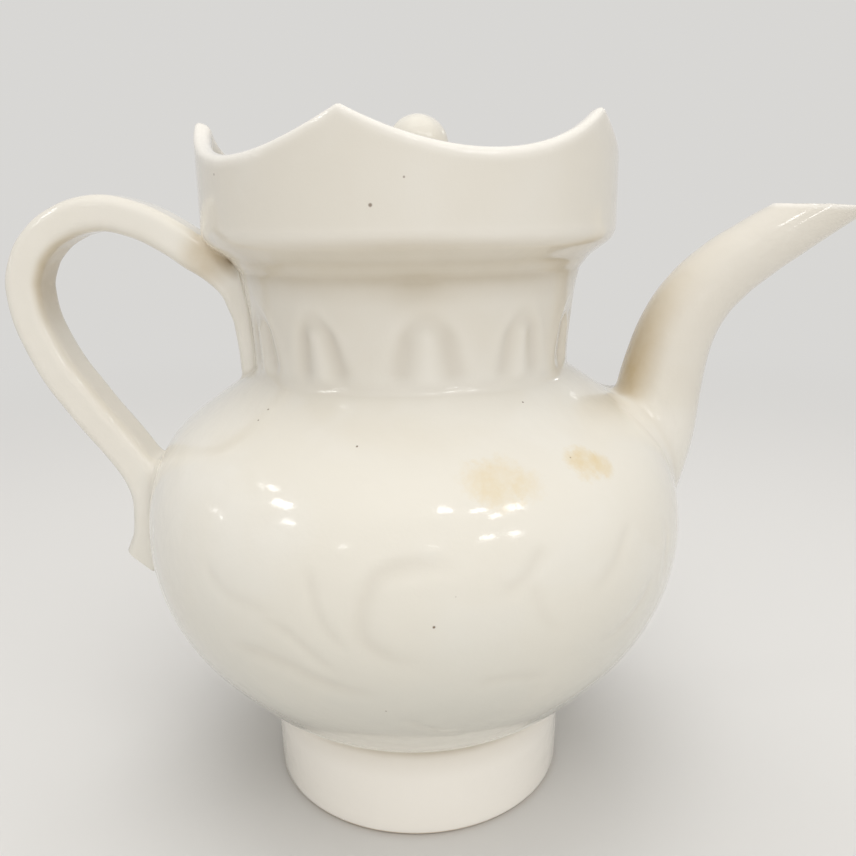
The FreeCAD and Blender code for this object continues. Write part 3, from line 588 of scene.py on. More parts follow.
def rimHeight(angle, radius):
    # five valleys, each one arc cut straight outwards between two tips
    tips, rises = crown["tips"], crown["rises"]
    height = np.full(len(angle), 1e3)
    for i, tip in enumerate(tips):
        opening = (tips[(i + 1) % 5] - tip) % 360
        half = t["cupRadius"] * math.sin(down(opening / 2))
        left, right = crownZ + rises[i], crownZ + rises[(i + 1) % 5]
        chord = math.hypot(half, (right - left) / 2)
        arc = (chord**2 + crown["depth"] ** 2) / (2 * crown["depth"])
        along = np.array([half, (right - left) / 2]) / chord
        middle = np.array([0, (left + right) / 2]) + (arc - crown["depth"]) * np.array([-along[1], along[0]])
        turn = np.radians((angle - tip - opening / 2 + 180) % 360 - 180)
        x = radius * np.sin(turn)
        reach = np.sqrt(np.maximum(arc**2 - (x - middle[0]) ** 2, 1.0))
        z = np.where(np.abs(turn) < math.pi / 2, middle[1] - reach, 1e3)
        h = np.maximum(crown["blunt"] - np.abs(height - z), 0) / crown["blunt"]
        height = np.minimum(height, z) - h * h * crown["blunt"] / 4
    return height


wall = (row >= marks["wallOutside"]) & (row <= marks["wallInside"])
rimLift = rimHeight(angle[wall], radius[wall]) - crownZ
# the wall is drawn up from its foot, the rounding of the lip isn't stretched
liftFrom, liftFull = neckTopZ + t["wallFrom"], crownZ - 3.0
co[wall, 2] += rimLift * np.clip((co[wall, 2] - liftFrom) / (liftFull - liftFrom), 0, 1)
writeCo(wholeBody, co)
normals = readNormals(wholeBody)

# slip round the spout and the strap
outer = np.where((row > marks["footTop"]) & (row <= marks["wallOutside"]))[0]
pool = np.zeros(len(co))
spoutAround = ((50, -30, 60), (110, 30, 140))
strapAround = ((-100, -20, 45), (-35, 20, 180))
for field, slip, around in ((spoutField, spoutSlip, spoutAround), (strapField, strapSlip, strapAround)):
    co[outer], normals[outer], depth = weld(co[outer], normals[outer], bodyField, field, slip, around)
    pool[outer] = np.maximum(pool[outer], depth)
writeCo(wholeBody, co)


# Petals gouged round the neck

petals = {
    "count": 11,
    "first": 4.9,
    "spread": 4.8,
    "gouge": 2.2,
    "depth": 0.8,
    "top": 14.3,
    "ridge": 8.6,
    "ridgeWidth": 2.2,
    "ridgeLift": 0.14,
    "ribWidth": 1.7,
    "ribLift": 0.32,
    # each petal's turn in degrees, depth, width and lean, cut by eye
    "byHand": [
        (0.8, 1.0, 1.08, 0.02), (0.5, 0.8, 0.85, 0.0), (-0.8, 0.95, 0.94, 0.05), (0.9, 1.1, 1.03, -0.06),
        (-1.2, 0.9, 1.0, 0.03), (0.3, 1.05, 0.95, -0.02), (1.1, 0.9, 1.05, 0.07), (-0.9, 1.0, 0.97, 0.0),
        (-0.4, 0.9, 1.02, -0.05), (0.7, 1.05, 0.96, 0.04), (-2.0, 1.15, 0.88, 0.14),
    ],
}


def petalCarving(angle, radius, z):
    pitch = 360 / petals["count"]
    number = np.round((angle - petals["first"]) / pitch).astype(int)
    hand = np.array(petals["byHand"])[number % petals["count"]]
    local = angle - petals["first"] - number * pitch - hand[:, 0]
    h = z - neckBase
    x = np.radians(local) * radius / hand[:, 2] - hand[:, 3] * (12 - h)
    # pointed at the top and spreading downwards, like a lotus petal
    x = x / np.clip(1.5 - 0.034 * h, 0.85, 1.3)
    reach = np.hypot(x, np.maximum(h - petals["top"], 0))
    gouge = np.exp(-((reach - petals["spread"]) / petals["gouge"]) ** 2) * ease(1.0, 6.0, h)
    gouge *= 1 - 0.7 * ease(14, 20, h)
    ridge = np.exp(-((reach - petals["ridge"]) / petals["ridgeWidth"]) ** 2) * ease(4, 15, h)
    rib = np.exp(-(reach / petals["ribWidth"]) ** 2) * ease(1.2, 5, h)
    return -petals["depth"] * hand[:, 1] * gouge + petals["ridgeLift"] * ridge + petals["ribLift"] * rib


def clearOf(co):  # 0 at the spout and the strap, 1 away from them
    clear = np.ones(len(co))
    for field, around, room in ((spoutField, spoutAround, 12), (strapField, strapAround, 5)):
        about = np.where(((co > around[0]) & (co < around[1])).all(1))[0]
        value, _ = field(co[about])
        clear[about] = np.minimum(clear[about], ease(room * 0.35, room, value))
    return clear


# Leaf scrolls combed into the lower belly before glazing: strokes of (angle, height)

scroll = {
    "turns": [0.0, 121.0, 238.0],
    # half width, depth and the stroke's places
    "strokes": [
        (2.3, 0.52, [(10.0, 97.3), (5.4, 98.6), (-0.2, 98.6), (-4.6, 96.5), (-7.0, 92.3), (-8.2, 86.6),
                     (-7.9, 81.6), (-5.0, 77.6), (0.1, 74.8), (6.9, 72.4)]),
        (1.5, 0.34, [(-17.4, 98.5), (-16.5, 92.7), (-15.2, 86.6), (-12.6, 80.8), (-9.0, 77.6)]),
        (1.5, 0.36, [(-26.5, 83.6), (-21.0, 80.9), (-17.6, 76.9), (-14.6, 73.4), (-10.6, 70.9)]),
        (2.2, 0.52, [(-36.0, 71.0), (-29.5, 73.4), (-23.0, 72.0), (-16.6, 68.4), (-10.0, 65.8),
                     (-2.6, 65.4)]),
        (1.7, 0.26, [(-39.4, 95.0), (-36.6, 89.9), (-32.4, 87.1), (-27.1, 86.0), (-22.0, 84.2)]),
        (1.9, 0.38, [(23.4, 101.5), (21.4, 96.7), (17.9, 92.8), (12.0, 90.0)]),
        (1.7, 0.26, [(20.2, 94.0), (21.5, 88.3), (23.2, 82.4), (27.0, 77.0)]),
        (1.7, 0.30, [(10.5, 67.6), (17.6, 67.9), (26.5, 65.0)]),
        (1.9, 0.28, [(45.2, 101.0), (40.6, 95.2), (36.9, 90.0), (31.5, 85.2)]),
        (1.6, 0.26, [(-2.4, 57.2), (4.0, 50.5), (11.5, 46.5)]),
        (1.8, 0.32, [(51.0, 84.0), (47.5, 77.8), (42.0, 73.0), (34.0, 70.6)]),
        (1.6, 0.26, [(56.5, 96.0), (58.0, 89.5), (56.5, 82.5), (61.0, 76.0)]),
    ],
}

carve = np.zeros(len(co))
onNeck = np.where((row > marks["neckFoot"]) & (row < marks["neckTop"]))[0]
carve[onNeck] = petalCarving(angle[onNeck], radius[onNeck], co[onNeck, 2]) * clearOf(co[onNeck])


def strokePoints(stroke):
    # a stroke as closely spaced places on the belly
    stroke = np.array(stroke, float)
    along = np.linspace(0, len(stroke) - 1, (len(stroke) - 1) * 14 + 1)
    turn, height = np.radians(between(stroke[:, 0], along)), between(stroke[:, 1], along)
    belly = profile[marks["footTop"]:marks["neckFoot"] + 1]
    r = np.interp(height, belly[:, 1], belly[:, 0])
    return np.stack([r * np.sin(turn), -r * np.cos(turn), height], -1)


onBelly = np.where((row > marks["footTop"] + 3) & (row < marks["neckFoot"] - 8))[0]
belly = co[onBelly]
groove = np.zeros(len(onBelly))
for turn in scroll["turns"]:
    for width, depth, stroke in scroll["strokes"]:
        points = strokePoints([(a + turn, h) for a, h in stroke])
        tip = ease(0, 0.22, np.linspace(0, 1, len(points))) * ease(0, 0.3, np.linspace(1, 0, len(points)))
        near = np.where(((belly > points.min(0) - 6) & (belly < points.max(0) + 6)).all(1))[0]
        for start in range(0, len(near), 6000):
            part = near[start:start + 6000]
            gap = np.linalg.norm(belly[part][:, None] - points[None], axis=2)
            best = gap.argmin(1)
            cut = np.exp(-(gap.min(1) / width) ** 2) * depth * tip[best]
            groove[part] = np.maximum(groove[part], cut)
carve[onBelly] = -groove * clearOf(belly)

co += normals * carve[:, None]
writeCo(wholeBody, co)
fresh = readNormals(wholeBody)
changed = (np.abs(carve) > 1e-4) & (pool < 1e-6)
normals[changed] = fresh[changed]


def handTurned(co):
    # the slight unevenness of a pot that was thrown and fired by hand
    turn = np.arctan2(co[:, 0], -co[:, 1])
    radius = np.hypot(co[:, 0], co[:, 1])
    out = -0.2 + 0.12 * np.sin(2 * turn + 0.9) + 0.08 * np.sin(3 * turn + 1.7 + co[:, 2] / 40)
    share = out * ease(5, 40, radius) / np.maximum(radius, 1)
    return co * np.stack([1 + share, 1 + share, np.ones(len(co))], -1)


# How much glaze pools in the hollows, and how much lighter the outline's edges are from thinner glaze and a
# painted highlight

way = np.gradient(profile, axis=0)
lengths = np.hypot(*way.T)
heading = np.unwrap(np.arctan2(way[:, 1], way[:, 0]))
bend = np.gradient(heading) / np.maximum(lengths, 0.05)
run = np.concatenate([[0], np.cumsum(np.hypot(*np.diff(profile, axis=0).T))])


def spread(values, width):
    weight = np.exp(-((run[:, None] - run[None]) / width) ** 2) * lengths[None]
    return (weight * values[None]).sum(1) / weight.sum(1)


# painted shade under the cup, down inside the cup and on the top of the foot
heights = profile[:, 1]
under = ease(neckTopZ - 8, neckTopZ, heights) * ease(neckTopZ + 10.5, neckTopZ + 7.5, heights) * 0.42
under[marks["wallOutside"]:] = 0
cupLining = np.arange(len(profile))[marks["wallOutside"]:marks["throat"]]
cupLining = cupLining[profile[cupLining, 0] < cupInside + 1.0]
under[cupLining] = 0.8 * ease(crownZ - 1, crownZ - 6, heights[cupLining])
under = np.maximum(under, 0.3 * ease(18, 27, heights) * (profile[:, 0] > 44) * ease(31, 29, heights))
hollow = spread(np.clip(-bend, 0, 0.5), 1.6) * 3.0
hollow *= 1 - 0.8 * ease(neckBase + 9, neckBase + 4, heights) * ease(neckBase - 9, neckBase - 4, heights)
hollowAndShadeRow = np.clip(hollow + under, 0, 1)
# edges of the outline lighter: thinner glaze and a painted highlight
edgeRow = np.clip(spread(np.clip(bend - 0.05, 0, 0.5), 1.3) * 3.2, 0, 1)
nearPool = pool**2 * 0.3
# painted shade in a few patches under the cup: direction, width, strength,
# lowest and highest from the neck's top
shadePatches = [
    (-49, 10, 0.45, 0, 7), (3, 9, 0.36, -12, 1), (0, 17, 0.25, 6, 10), (54, 8, 0.45, 2, 8),
    (118, 13, 0.35, -7, 2), (176, 10, 0.35, -9, 1),
]


def patchedShade():
    above = co[:, 2] - neckTopZ
    most = np.zeros(len(co))
    for place, width, strength, low, high in shadePatches:
        aside = (angle - place + 180) % 360 - 180
        band = ease(low - 1, low + (high - low) * 0.7, above) * ease(high + 2, high - 1, above)
        most = np.maximum(most, strength * band * np.exp(-(aside / width) ** 2))
    most[row > marks["wallOutside"]] = 0
    return most


# pooled glaze in hollows, joints and grooves, and painted shade under the cup, inside it, on the foot's top
# and in patches
poolAndShadeWhole = np.clip(hollowAndShadeRow[row] + patchedShade() + nearPool + np.clip(-carve, 0, 2) * 0.15, 0, 1)
# edges and carved ridges lighter: thinner glaze and a painted highlight
edgeWhole = np.clip(edgeRow[row] + np.clip(carve, 0, 1) * 0.8, 0, 1)


def amberAt(co, normals):
    # iron-tinted glaze on the neck side of the spout and where the strap leaves the cup
    inner = ease(0.2, 1.0, normals @ np.array([-0.92, 0.0, 0.39]))
    spoutSide = inner * ease(60, 66, co[:, 0]) * ease(170, 118, co[:, 2]) * ease(103, 118, co[:, 2])
    corner = np.linalg.norm((co - (-58.0, 0, 163.5)) * (1, 0.5, 1), axis=1)
    bow = ease(0.2, 0.8, normals @ np.array([0.87, 0.0, -0.5]))
    bow = bow * ease(24, 6, np.linalg.norm(co - (-101, 0, 160), axis=1))
    return np.clip(spoutSide * 1.15 + 0.75 * ease(11, 3.5, corner) + 0.6 * bow, 0, 1)


def storeValues(mesh, **values):
    for name, numbers in values.items():
        mesh.attributes.new(name, "FLOAT", "POINT").data.foreach_set("value", numbers.astype(np.float32))


def storeNormals(mesh, normals):
    normals = normals / np.maximum(np.linalg.norm(normals, axis=1), 1e-9)[:, None]
    layer = mesh.attributes.new("glazeNormal", "FLOAT_VECTOR", "POINT")
    layer.data.foreach_set("vector", normals.astype(np.float32).ravel())


# painted shade: darker from the neck's foot upwards and in the carved grooves
tone = 0.35 * ease(neckBase - 6, neckBase + 14, co[:, 2]) + 0.4 * np.clip(-carve, 0, 1)
storeValues(wholeBody, pool=poolAndShadeWhole, edge=edgeWhole, amber=amberAt(co, normals), tone=tone)
storeNormals(wholeBody, normals)
writeCo(wholeBody, handTurned(co))


def useNormals(mesh, flat):
    # the whole pot's smooth normals, so that no joint shows; flat faces keep their own
    mesh.polygons.foreach_set("use_smooth", np.ones(len(mesh.polygons), bool))
    normals = np.zeros(len(mesh.vertices) * 3)
    mesh.attributes["glazeNormal"].data.foreach_get("vector", normals)
    index = np.zeros(len(mesh.loops), int)
    mesh.loops.foreach_get("vertex_index", index)
    perLoop = normals.reshape(-1, 3)[index]
    for face in flat:
        perLoop[list(mesh.polygons[face].loop_indices)] = mesh.polygons[face].normal
    mesh.normals_split_custom_set(perLoop.tolist())
    mesh.attributes.remove(mesh.attributes["glazeNormal"])


def addPiece(name, mesh, body, slot, material, *nodes):
    mesh.materials.clear()
    mesh.materials.append(material)
    piece = bpy.data.objects.new(name, mesh)
    bpy.context.scene.collection.objects.link(piece)
    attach(piece, body)
    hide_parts(*nodes)
    print("made", name, len(mesh.vertices), "vertices")
    return piece


faceRows = np.zeros(len(wholeBody.loops), int)
wholeBody.loops.foreach_get("vertex_index", faceRows)
faceRows = row[faceRows]
faceStarts = np.zeros(len(wholeBody.polygons), int)
wholeBody.polygons.foreach_get("loop_start", faceStarts)
lowRow = np.minimum.reduceat(faceRows, faceStarts)
highRow = np.maximum.reduceat(faceRows, faceStarts)


def cutOut(name, spans, joints, hole=None):
    # one thrown piece of the pot: its rows, closed where the potter luted it
    bm = bmesh.new()
    bm.from_mesh(wholeBody)
    keep = np.zeros(len(lowRow), bool)
    for low, high in spans:
        keep |= (lowRow >= low) & (highRow <= high)
    bm.faces.ensure_lookup_table()
    bmesh.ops.delete(bm, geom=[bm.faces[i] for i in np.where(~keep)[0]], context="FACES")
    layer = bm.verts.layers.int["row"]
    flat = []
    for rows in joints:
        ring = [e for e in bm.edges if e.is_boundary and e.verts[0][layer] in rows]
        flat += bmesh.ops.bridge_loops(bm, edges=ring)["faces"]
    if hole:
        hole(bm)
    bmesh.ops.recalc_face_normals(bm, faces=bm.faces[:])
    bm.faces.index_update()
    flat = [f.index for f in flat if f.is_valid]
    mesh = bpy.data.meshes.new(name)
    bm.to_mesh(mesh)
    bm.free()
    useNormals(mesh, flat)
    mesh.attributes.remove(mesh.attributes["row"])
    return mesh


def pierce(bm):
    # the hole behind the spout, square to the shoulder
    start = Vector((shoulderR, 0, shoulderZ)) * mm
    way = Vector((math.cos(down(t["shoulder"][3])), 0, math.sin(down(t["shoulder"][3]))))
    size = spout["hole"] * mm

    def off(point):
        gap = point - start
        return gap - way * gap.dot(way)

    def cutAway(point):
        return (point - start).length < spout["holeNear"] * mm and off(point).length < size

    chosen = [f for f in bm.faces if cutAway(f.calc_center_median())]
    bmesh.ops.delete(bm, geom=chosen, context="FACES")
    edges = [e for e in bm.edges if e.is_boundary]
    for v in {v for e in edges for v in e.verts}:
        gap = off(v.co)
        v.co += gap.normalized() * (size - gap.length)
    bmesh.ops.bridge_loops(bm, edges=edges)


m = marks
lastRow = len(profile) - 1
meshes = {
    "footRing": cutOut("footRing", [(m["recessTop"], m["footTop"])], [(m["recessTop"], m["footTop"])]),
    "bellyBowl": cutOut(
        "bellyBowl", [(0, m["recessTop"]), (m["footTop"], m["girth"]), (m["girthInside"], lastRow)],
        [(m["recessTop"], m["footTop"]), (m["girth"], m["girthInside"])]),
    "bellyDome": cutOut(
        "bellyDome", [(m["girth"], m["neckFoot"]), (m["neckBore"], m["girthInside"])],
        [(m["girth"], m["girthInside"]), (m["neckFoot"], m["neckBore"])], pierce),
    "petalNeck": cutOut(
        "petalNeck", [(m["neckFoot"], m["neckTop"]), (m["throat"], m["neckBore"])],
        [(m["neckFoot"], m["neckBore"]), (m["neckTop"], m["throat"])]),
    "flowerCup": cutOut("flowerCup", [(m["neckTop"], m["throat"])], [(m["neckTop"], m["throat"])]),
}


# The spout: one sheet drawn along its line, outside and bore

def tube(bm, sides, rows):
    # a sheet rolled up round Z, its rows one apart
    sheet = bmesh.ops.create_grid(bm, x_segments=sides, y_segments=rows, size=1)["verts"]
    for v in sheet:
        turn = v.co.x * math.pi
        v.co = (math.cos(turn), math.sin(turn), (v.co.y + 1) / 2 * rows)
    bmesh.ops.remove_doubles(bm, verts=sheet, dist=1e-4)


def moveTo(bm, places):
    for v, spot in zip(bm.verts, places * mm):
        v.co = spot


def roundOff(bm, edges, size, segments):
    bmesh.ops.bevel(
        bm, geom=edges, affect="EDGES", offset=size * mm, offset_type="OFFSET", segments=segments,
        profile=0.5, material=-1, clamp_overlap=True, loop_slide=True,
    )


def sampleAt(values, spots):  # values at fractional sample numbers
    i = np.clip(spots.astype(int), 0, len(values) - 2)
    w = spots - i
    if values.ndim > 1:
        w = w[..., None]
    return values[i] * (1 - w) + values[i + 1] * w


def spoutSpots(angles, samples, places, way, radius):
    centre, turn, size = sampleAt(places, samples), sampleAt(way, samples), sampleAt(radius, samples)
    turn = turn / np.hypot(turn[..., 0], turn[..., 1])[..., None]
    out, side = np.cos(angles) * size, np.sin(angles) * size
    return np.stack([centre[..., 0] + out * turn[..., 1], side, centre[..., 1] - out * turn[..., 0]], -1)


def makeSpout():
    bm = bmesh.new()
    # one sheet: up the outside, over the lip, down the bore and closed at the root
    rows = spout["rows"]
    around = 2 * rows + 2
    tube(bm, spout["sides"], around)
    lipFaces = [f for f in bm.faces if rows < f.calc_center_median().z < rows + 1]
    flat = np.array([v.co for v in bm.verts])
    angles, run = np.arctan2(flat[:, 1], flat[:, 0]), np.round(flat[:, 2]).astype(int)
    isBore = (run > rows) & (run < around)
    along = np.where(isBore, around - 1 - run, run % around) / rows
    # the line is carried on backwards into the shoulder and ahead past the lip
    more = 30
    back = spoutPlaces[0] - spoutWay[0] * np.arange(more, 0, -1)[:, None] * 0.5
    ahead = spoutPlaces[-1] + spoutWay[-1] * np.arange(1, more + 1)[:, None] * 0.5
    places = np.vstack([back, spoutPlaces, ahead])
    way = np.vstack([np.repeat(spoutWay[:1], more, 0), spoutWay, np.repeat(spoutWay[-1:], more, 0)])
    spots = np.zeros((len(flat), 3))
    lipWay = np.array([math.sin(down(spout["lipTilt"])), 0, math.cos(down(spout["lipTilt"]))])
    for bore, size in ((False, spoutOuter), (True, spoutBore)):
        size = np.concatenate([np.repeat(size[:1], more), size, np.repeat(size[-1:], more)])
        chosen = np.where(isBore == bore)[0]
        turns, which = np.unique(np.round(angles[chosen], 5), return_inverse=True)
        samples = np.broadcast_to(np.arange(len(places), dtype=float), (len(turns), len(places)))
        grid = spoutSpots(turns[:, None], samples, places, way, size)
        depth = bodyField(grid.reshape(-1, 3))[0].reshape(len(turns), -1)
        over = np.maximum((grid - spoutLip) @ lipWay, grid[..., 0] - spout["tip"])
        starts, ends = [], []
        for d, o in zip(depth, over):
            i = np.where(d < -spout["bury"])[0]
            i = i[i < len(places) * 0.6].max() if len(i) else 0
            starts.append(i + np.clip((-spout["bury"] - d[i]) / (d[i + 1] - d[i] + 1e-9), 0, 1))
            j = np.where(o > 0)[0].min()
            ends.append(j - o[j] / (o[j] - o[j - 1]))
        share = along[chosen]
        at = np.array(starts)[which] * (1 - share) + np.array(ends)[which] * share
        spots[chosen] = spoutSpots(angles[chosen], at, places, way, size)
    moveTo(bm, spots)
    edges = list({e for f in lipFaces for e in f.edges if any(g not in lipFaces for g in e.link_faces)})
    roundOff(bm, edges, spout["lipRound"], 3)
    bmesh.ops.remove_doubles(bm, verts=bm.verts[:], dist=1e-6)
    bmesh.ops.recalc_face_normals(bm, faces=bm.faces[:])
    mesh = bpy.data.meshes.new("pouringSpout")
    bm.to_mesh(mesh)
    bm.free()
    return mesh


def dress(mesh, ownField, slip, around, edge, tone):
    # wipes the slip round a luted piece and stores what its glaze needs
    co, normals = readCo(mesh), readNormals(mesh)
    co, normals, depth = weld(co, normals, ownField, bodyField, slip, around)
    writeCo(mesh, co)
    fresh = readNormals(mesh)
    normals[depth == 0] = fresh[depth == 0]
    storeValues(
        mesh, pool=depth**2 * 0.3, edge=edge(co), amber=amberAt(co, normals),
        # painted shade, fading in away from the joint
        tone=tone * ease(0, 18, bodyField(co)[0]))
    storeNormals(mesh, normals)
    writeCo(mesh, handTurned(co))
    useNormals(mesh, [])
    return mesh


# the spout's lip lighter: thinner glaze and a painted highlight
def spoutEdge(co):
    slope = math.tan(down(spout["lipTilt"]))
    return ease(-1.6, -0.2, co[:, 2] - spoutLip[2] + (co[:, 0] - spoutLip[0]) * slope)


print("drawing the spout")
meshes["pouringSpout"] = dress(makeSpout(), spoutField, spoutSlip, spoutAround, spoutEdge, 0.5)


# The strap: a rounded bar drawn along its line, its foot cut off slanting

def strapRing():
    # one section's corners: shares of the straight sides and directions of the rounding
    ring = []
    for quarter, (a, b) in enumerate(((1, 1), (-1, 1), (-1, -1), (1, -1))):
        for i in range(9):
            turn = math.tau / 4 * (quarter + i / 8)
            ring.append((a, b, math.cos(turn), math.sin(turn)))
        ahead = ((-1, 1), (-1, -1), (1, -1), (1, 1))[quarter]
        count = 8 if quarter % 2 else 5
        for i in range(1, count):
            w = i / count
            turn = math.tau / 4 * (quarter + 1)
            ring.append((a + (ahead[0] - a) * w, b + (ahead[1] - b) * w, math.cos(turn), math.sin(turn)))
    return np.array(ring)


def makeStrap():
    ring = strapRing()
    sides, rows = len(ring), strap["rows"]
    bm = bmesh.new()
    tube(bm, sides, rows)
    flat = np.array([v.co for v in bm.verts])
    number = np.round(np.arctan2(flat[:, 1], flat[:, 0]) / math.tau * sides).astype(int) % sides
    run = np.concatenate([[0], np.cumsum(np.hypot(*np.diff(strapPlaces, axis=0).T))])
    at = np.interp(flat[:, 2] / rows * run[-1], run, np.arange(len(run)))
    centre, turn, thick = sampleAt(strapPlaces, at), sampleAt(strapWay, at), sampleAt(strapThick, at)
    corner = np.minimum(strap["corner"], thick * 0.45)
    a, b, c, d = ring[number].T
    u = a * (thick / 2 - corner) + c * corner
    v = b * (strap["width"] / 2 - corner) + d * corner
    moveTo(bm, np.stack([centre[:, 0] + u * turn[:, 1], v, centre[:, 1] - u * turn[:, 0]], -1))
    bmesh.ops.holes_fill(bm, edges=[e for e in bm.edges if e.is_boundary and e.verts[0].co.z > 0.1], sides=0)
    low = [f for f in bm.faces if f.calc_center_median().z < 0.08]
    geom = list({g for f in low for g in (*f.verts, *f.edges)}) + low
    end = Vector((strap["end"][0], 0, strap["end"][1])) * mm
    bmesh.ops.bisect_plane(
        bm, geom=geom, dist=1e-6, plane_co=end, plane_no=Vector(strapEndWay), clear_outer=True)
    cap = bmesh.ops.holes_fill(bm, edges=[e for e in bm.edges if e.is_boundary], sides=0)["faces"]
    edges = list({e for f in cap for e in f.edges})
    roundOff(bm, edges, strap["endRound"], 4)
    big = sorted(bm.faces, key=lambda f: len(f.verts))[-2:]
    bmesh.ops.poke(bm, faces=big)
    bmesh.ops.recalc_face_normals(bm, faces=bm.faces[:])
    mesh = bpy.data.meshes.new("strapHandle")
    bm.to_mesh(mesh)
    bm.free()
    # what lies inside the wall is pressed flat under its skin
    co = readCo(mesh)
    for _ in range(5):
        depth, way = bodyField(co)
        deep = depth < -2
        co[deep] += way[deep] * (-2 - depth[deep])[:, None] * 0.9
    writeCo(mesh, co)
    return mesh


print("drawing the strap")
# the strap's side edges lighter: thinner glaze and a painted highlight
meshes["strapHandle"] = dress(
    makeStrap(), strapField, strapSlip, strapAround,
    lambda co: 0.35 * ease(6.2, 7.4, np.abs(co[:, 1])), 0.25)


# The loose lid

lid = {
    "steps": 288,
    "clearance": 1.4,
    "thickness": 4.0,
    "rise": 13.6,
    "dome": 110.0,
    "flangeGap": 1.0,
    "flangeWall": 4.0,
    "flangeDepth": 8.0,
    "seat": 10.5,
    "knobOff": 2.8,
    "knobFoot": 6.6,
    "knobStem": 5.0,
    "knobStemRise": 2.6,
    "knobRadius": 8.8,
    "knobSwellRise": 8.2,
    "knobSwell": 11.0,
    "knobTrim": 0.02,
    "facets": 7,
    "facetDepth": 0.22,
}
lidRadius = cupInside - lid["clearance"]
lidTop = ledgeZ + lid["rise"]
flangeOut = throat - lid["flangeGap"]
flangeIn = flangeOut - lid["flangeWall"]


def thrownLid(name, draw, shift=0.0, shape=None):
    bm = bmesh.new()
    pen = draw(bm)
    if (pen.tip.co - pen.first.co).length > 1e-7 and pen.first.co.x > 1e-6:
        bm.edges.new((pen.tip, pen.first))
    bmesh.ops.remove_doubles(bm, verts=bm.verts[:], dist=1e-6)
    turnRound(bm, lid["steps"])
    mesh = bpy.data.meshes.new(name)
    bm.to_mesh(mesh)
    bm.free()
    co = readCo(mesh)
    if shape:
        co = shape(co)
    co[:, 0] += shift
    writeCo(mesh, co)
    mesh.polygons.foreach_set("use_smooth", np.ones(len(mesh.polygons), bool))
    none = np.zeros(len(co))
    storeValues(mesh, pool=none, edge=none, amber=none, tone=none)
    return mesh


def drawLid(bm):
    low, edge = ledgeZ, ledgeZ + lid["thickness"]
    pen = Pen(bm, 0, lidTop - lid["thickness"])
    pen.line(lid["seat"], lidTop - lid["thickness"], 2)
    pen.arcTo(flangeIn, low, lid["dome"], -1, 2)
    pen.corners(
        [(lidRadius, low, 1.0, None), (lidRadius, edge, 1.3, None), (lidRadius - 3, edge + 1.2, 0, None)],
        1.5, 0.35)
    pen.arcTo(lid["seat"], lidTop, lid["dome"], 1, 1.2)
    pen.line(0, lidTop, 1.2)
    return pen


def drawFlange(bm):
    low = ledgeZ - lid["flangeDepth"]
    pen = Pen(bm, flangeIn, ledgeZ)
    pen.corners(
        [(flangeIn, low, 1.3, None), (flangeOut, low, 1.3, None), (flangeOut, ledgeZ, 0, None),
         (flangeIn, ledgeZ, 0, None)], 1.2, 0.35)
    return pen


def drawKnob(bm):
    pen = Pen(bm, 0, lidTop)
    pen.line(lid["knobFoot"], lidTop, 1)
    pen.arcTo(lid["knobStem"], lidTop + lid["knobStemRise"], 3.4, -1, 0.35)
    swellZ = lidTop + lid["knobStemRise"] + lid["knobSwellRise"]
    pen.arcTo(lid["knobRadius"], swellZ, lid["knobSwell"], 1, 0.45)
    pen.arcTo(0, swellZ + lid["knobRadius"], lid["knobRadius"], 1, 0.45)
    return pen


def bud(co):
    # faint facets where the bud was pared with a knife
    turn = np.arctan2(co[:, 1], co[:, 0])
    radius = np.hypot(co[:, 0], co[:, 1])
    pared = np.abs(np.sin(turn * lid["facets"] / 2 + 0.4)) ** 1.5 * lid["facetDepth"]
    pared = pared * ease(lidTop + 3, lidTop + 7, co[:, 2]) * ease(1.0, 5.0, radius)
    share = 1 - pared / np.maximum(radius, 1)
    tall = lid["knobStemRise"] + lid["knobSwellRise"] + lid["knobRadius"]
    co = co * np.stack([share, share, np.ones(len(co))], -1)
    co[:, 2] -= lid["knobTrim"] * (co[:, 2] - lidTop) / tall
    return co


print("throwing the lid")
meshes["lidDisc"] = thrownLid("lidDisc", drawLid)
meshes["lidFlange"] = thrownLid("lidFlange", drawFlange)
meshes["budKnob"] = thrownLid("budKnob", drawKnob, lid["knobOff"], bud)


# Materials

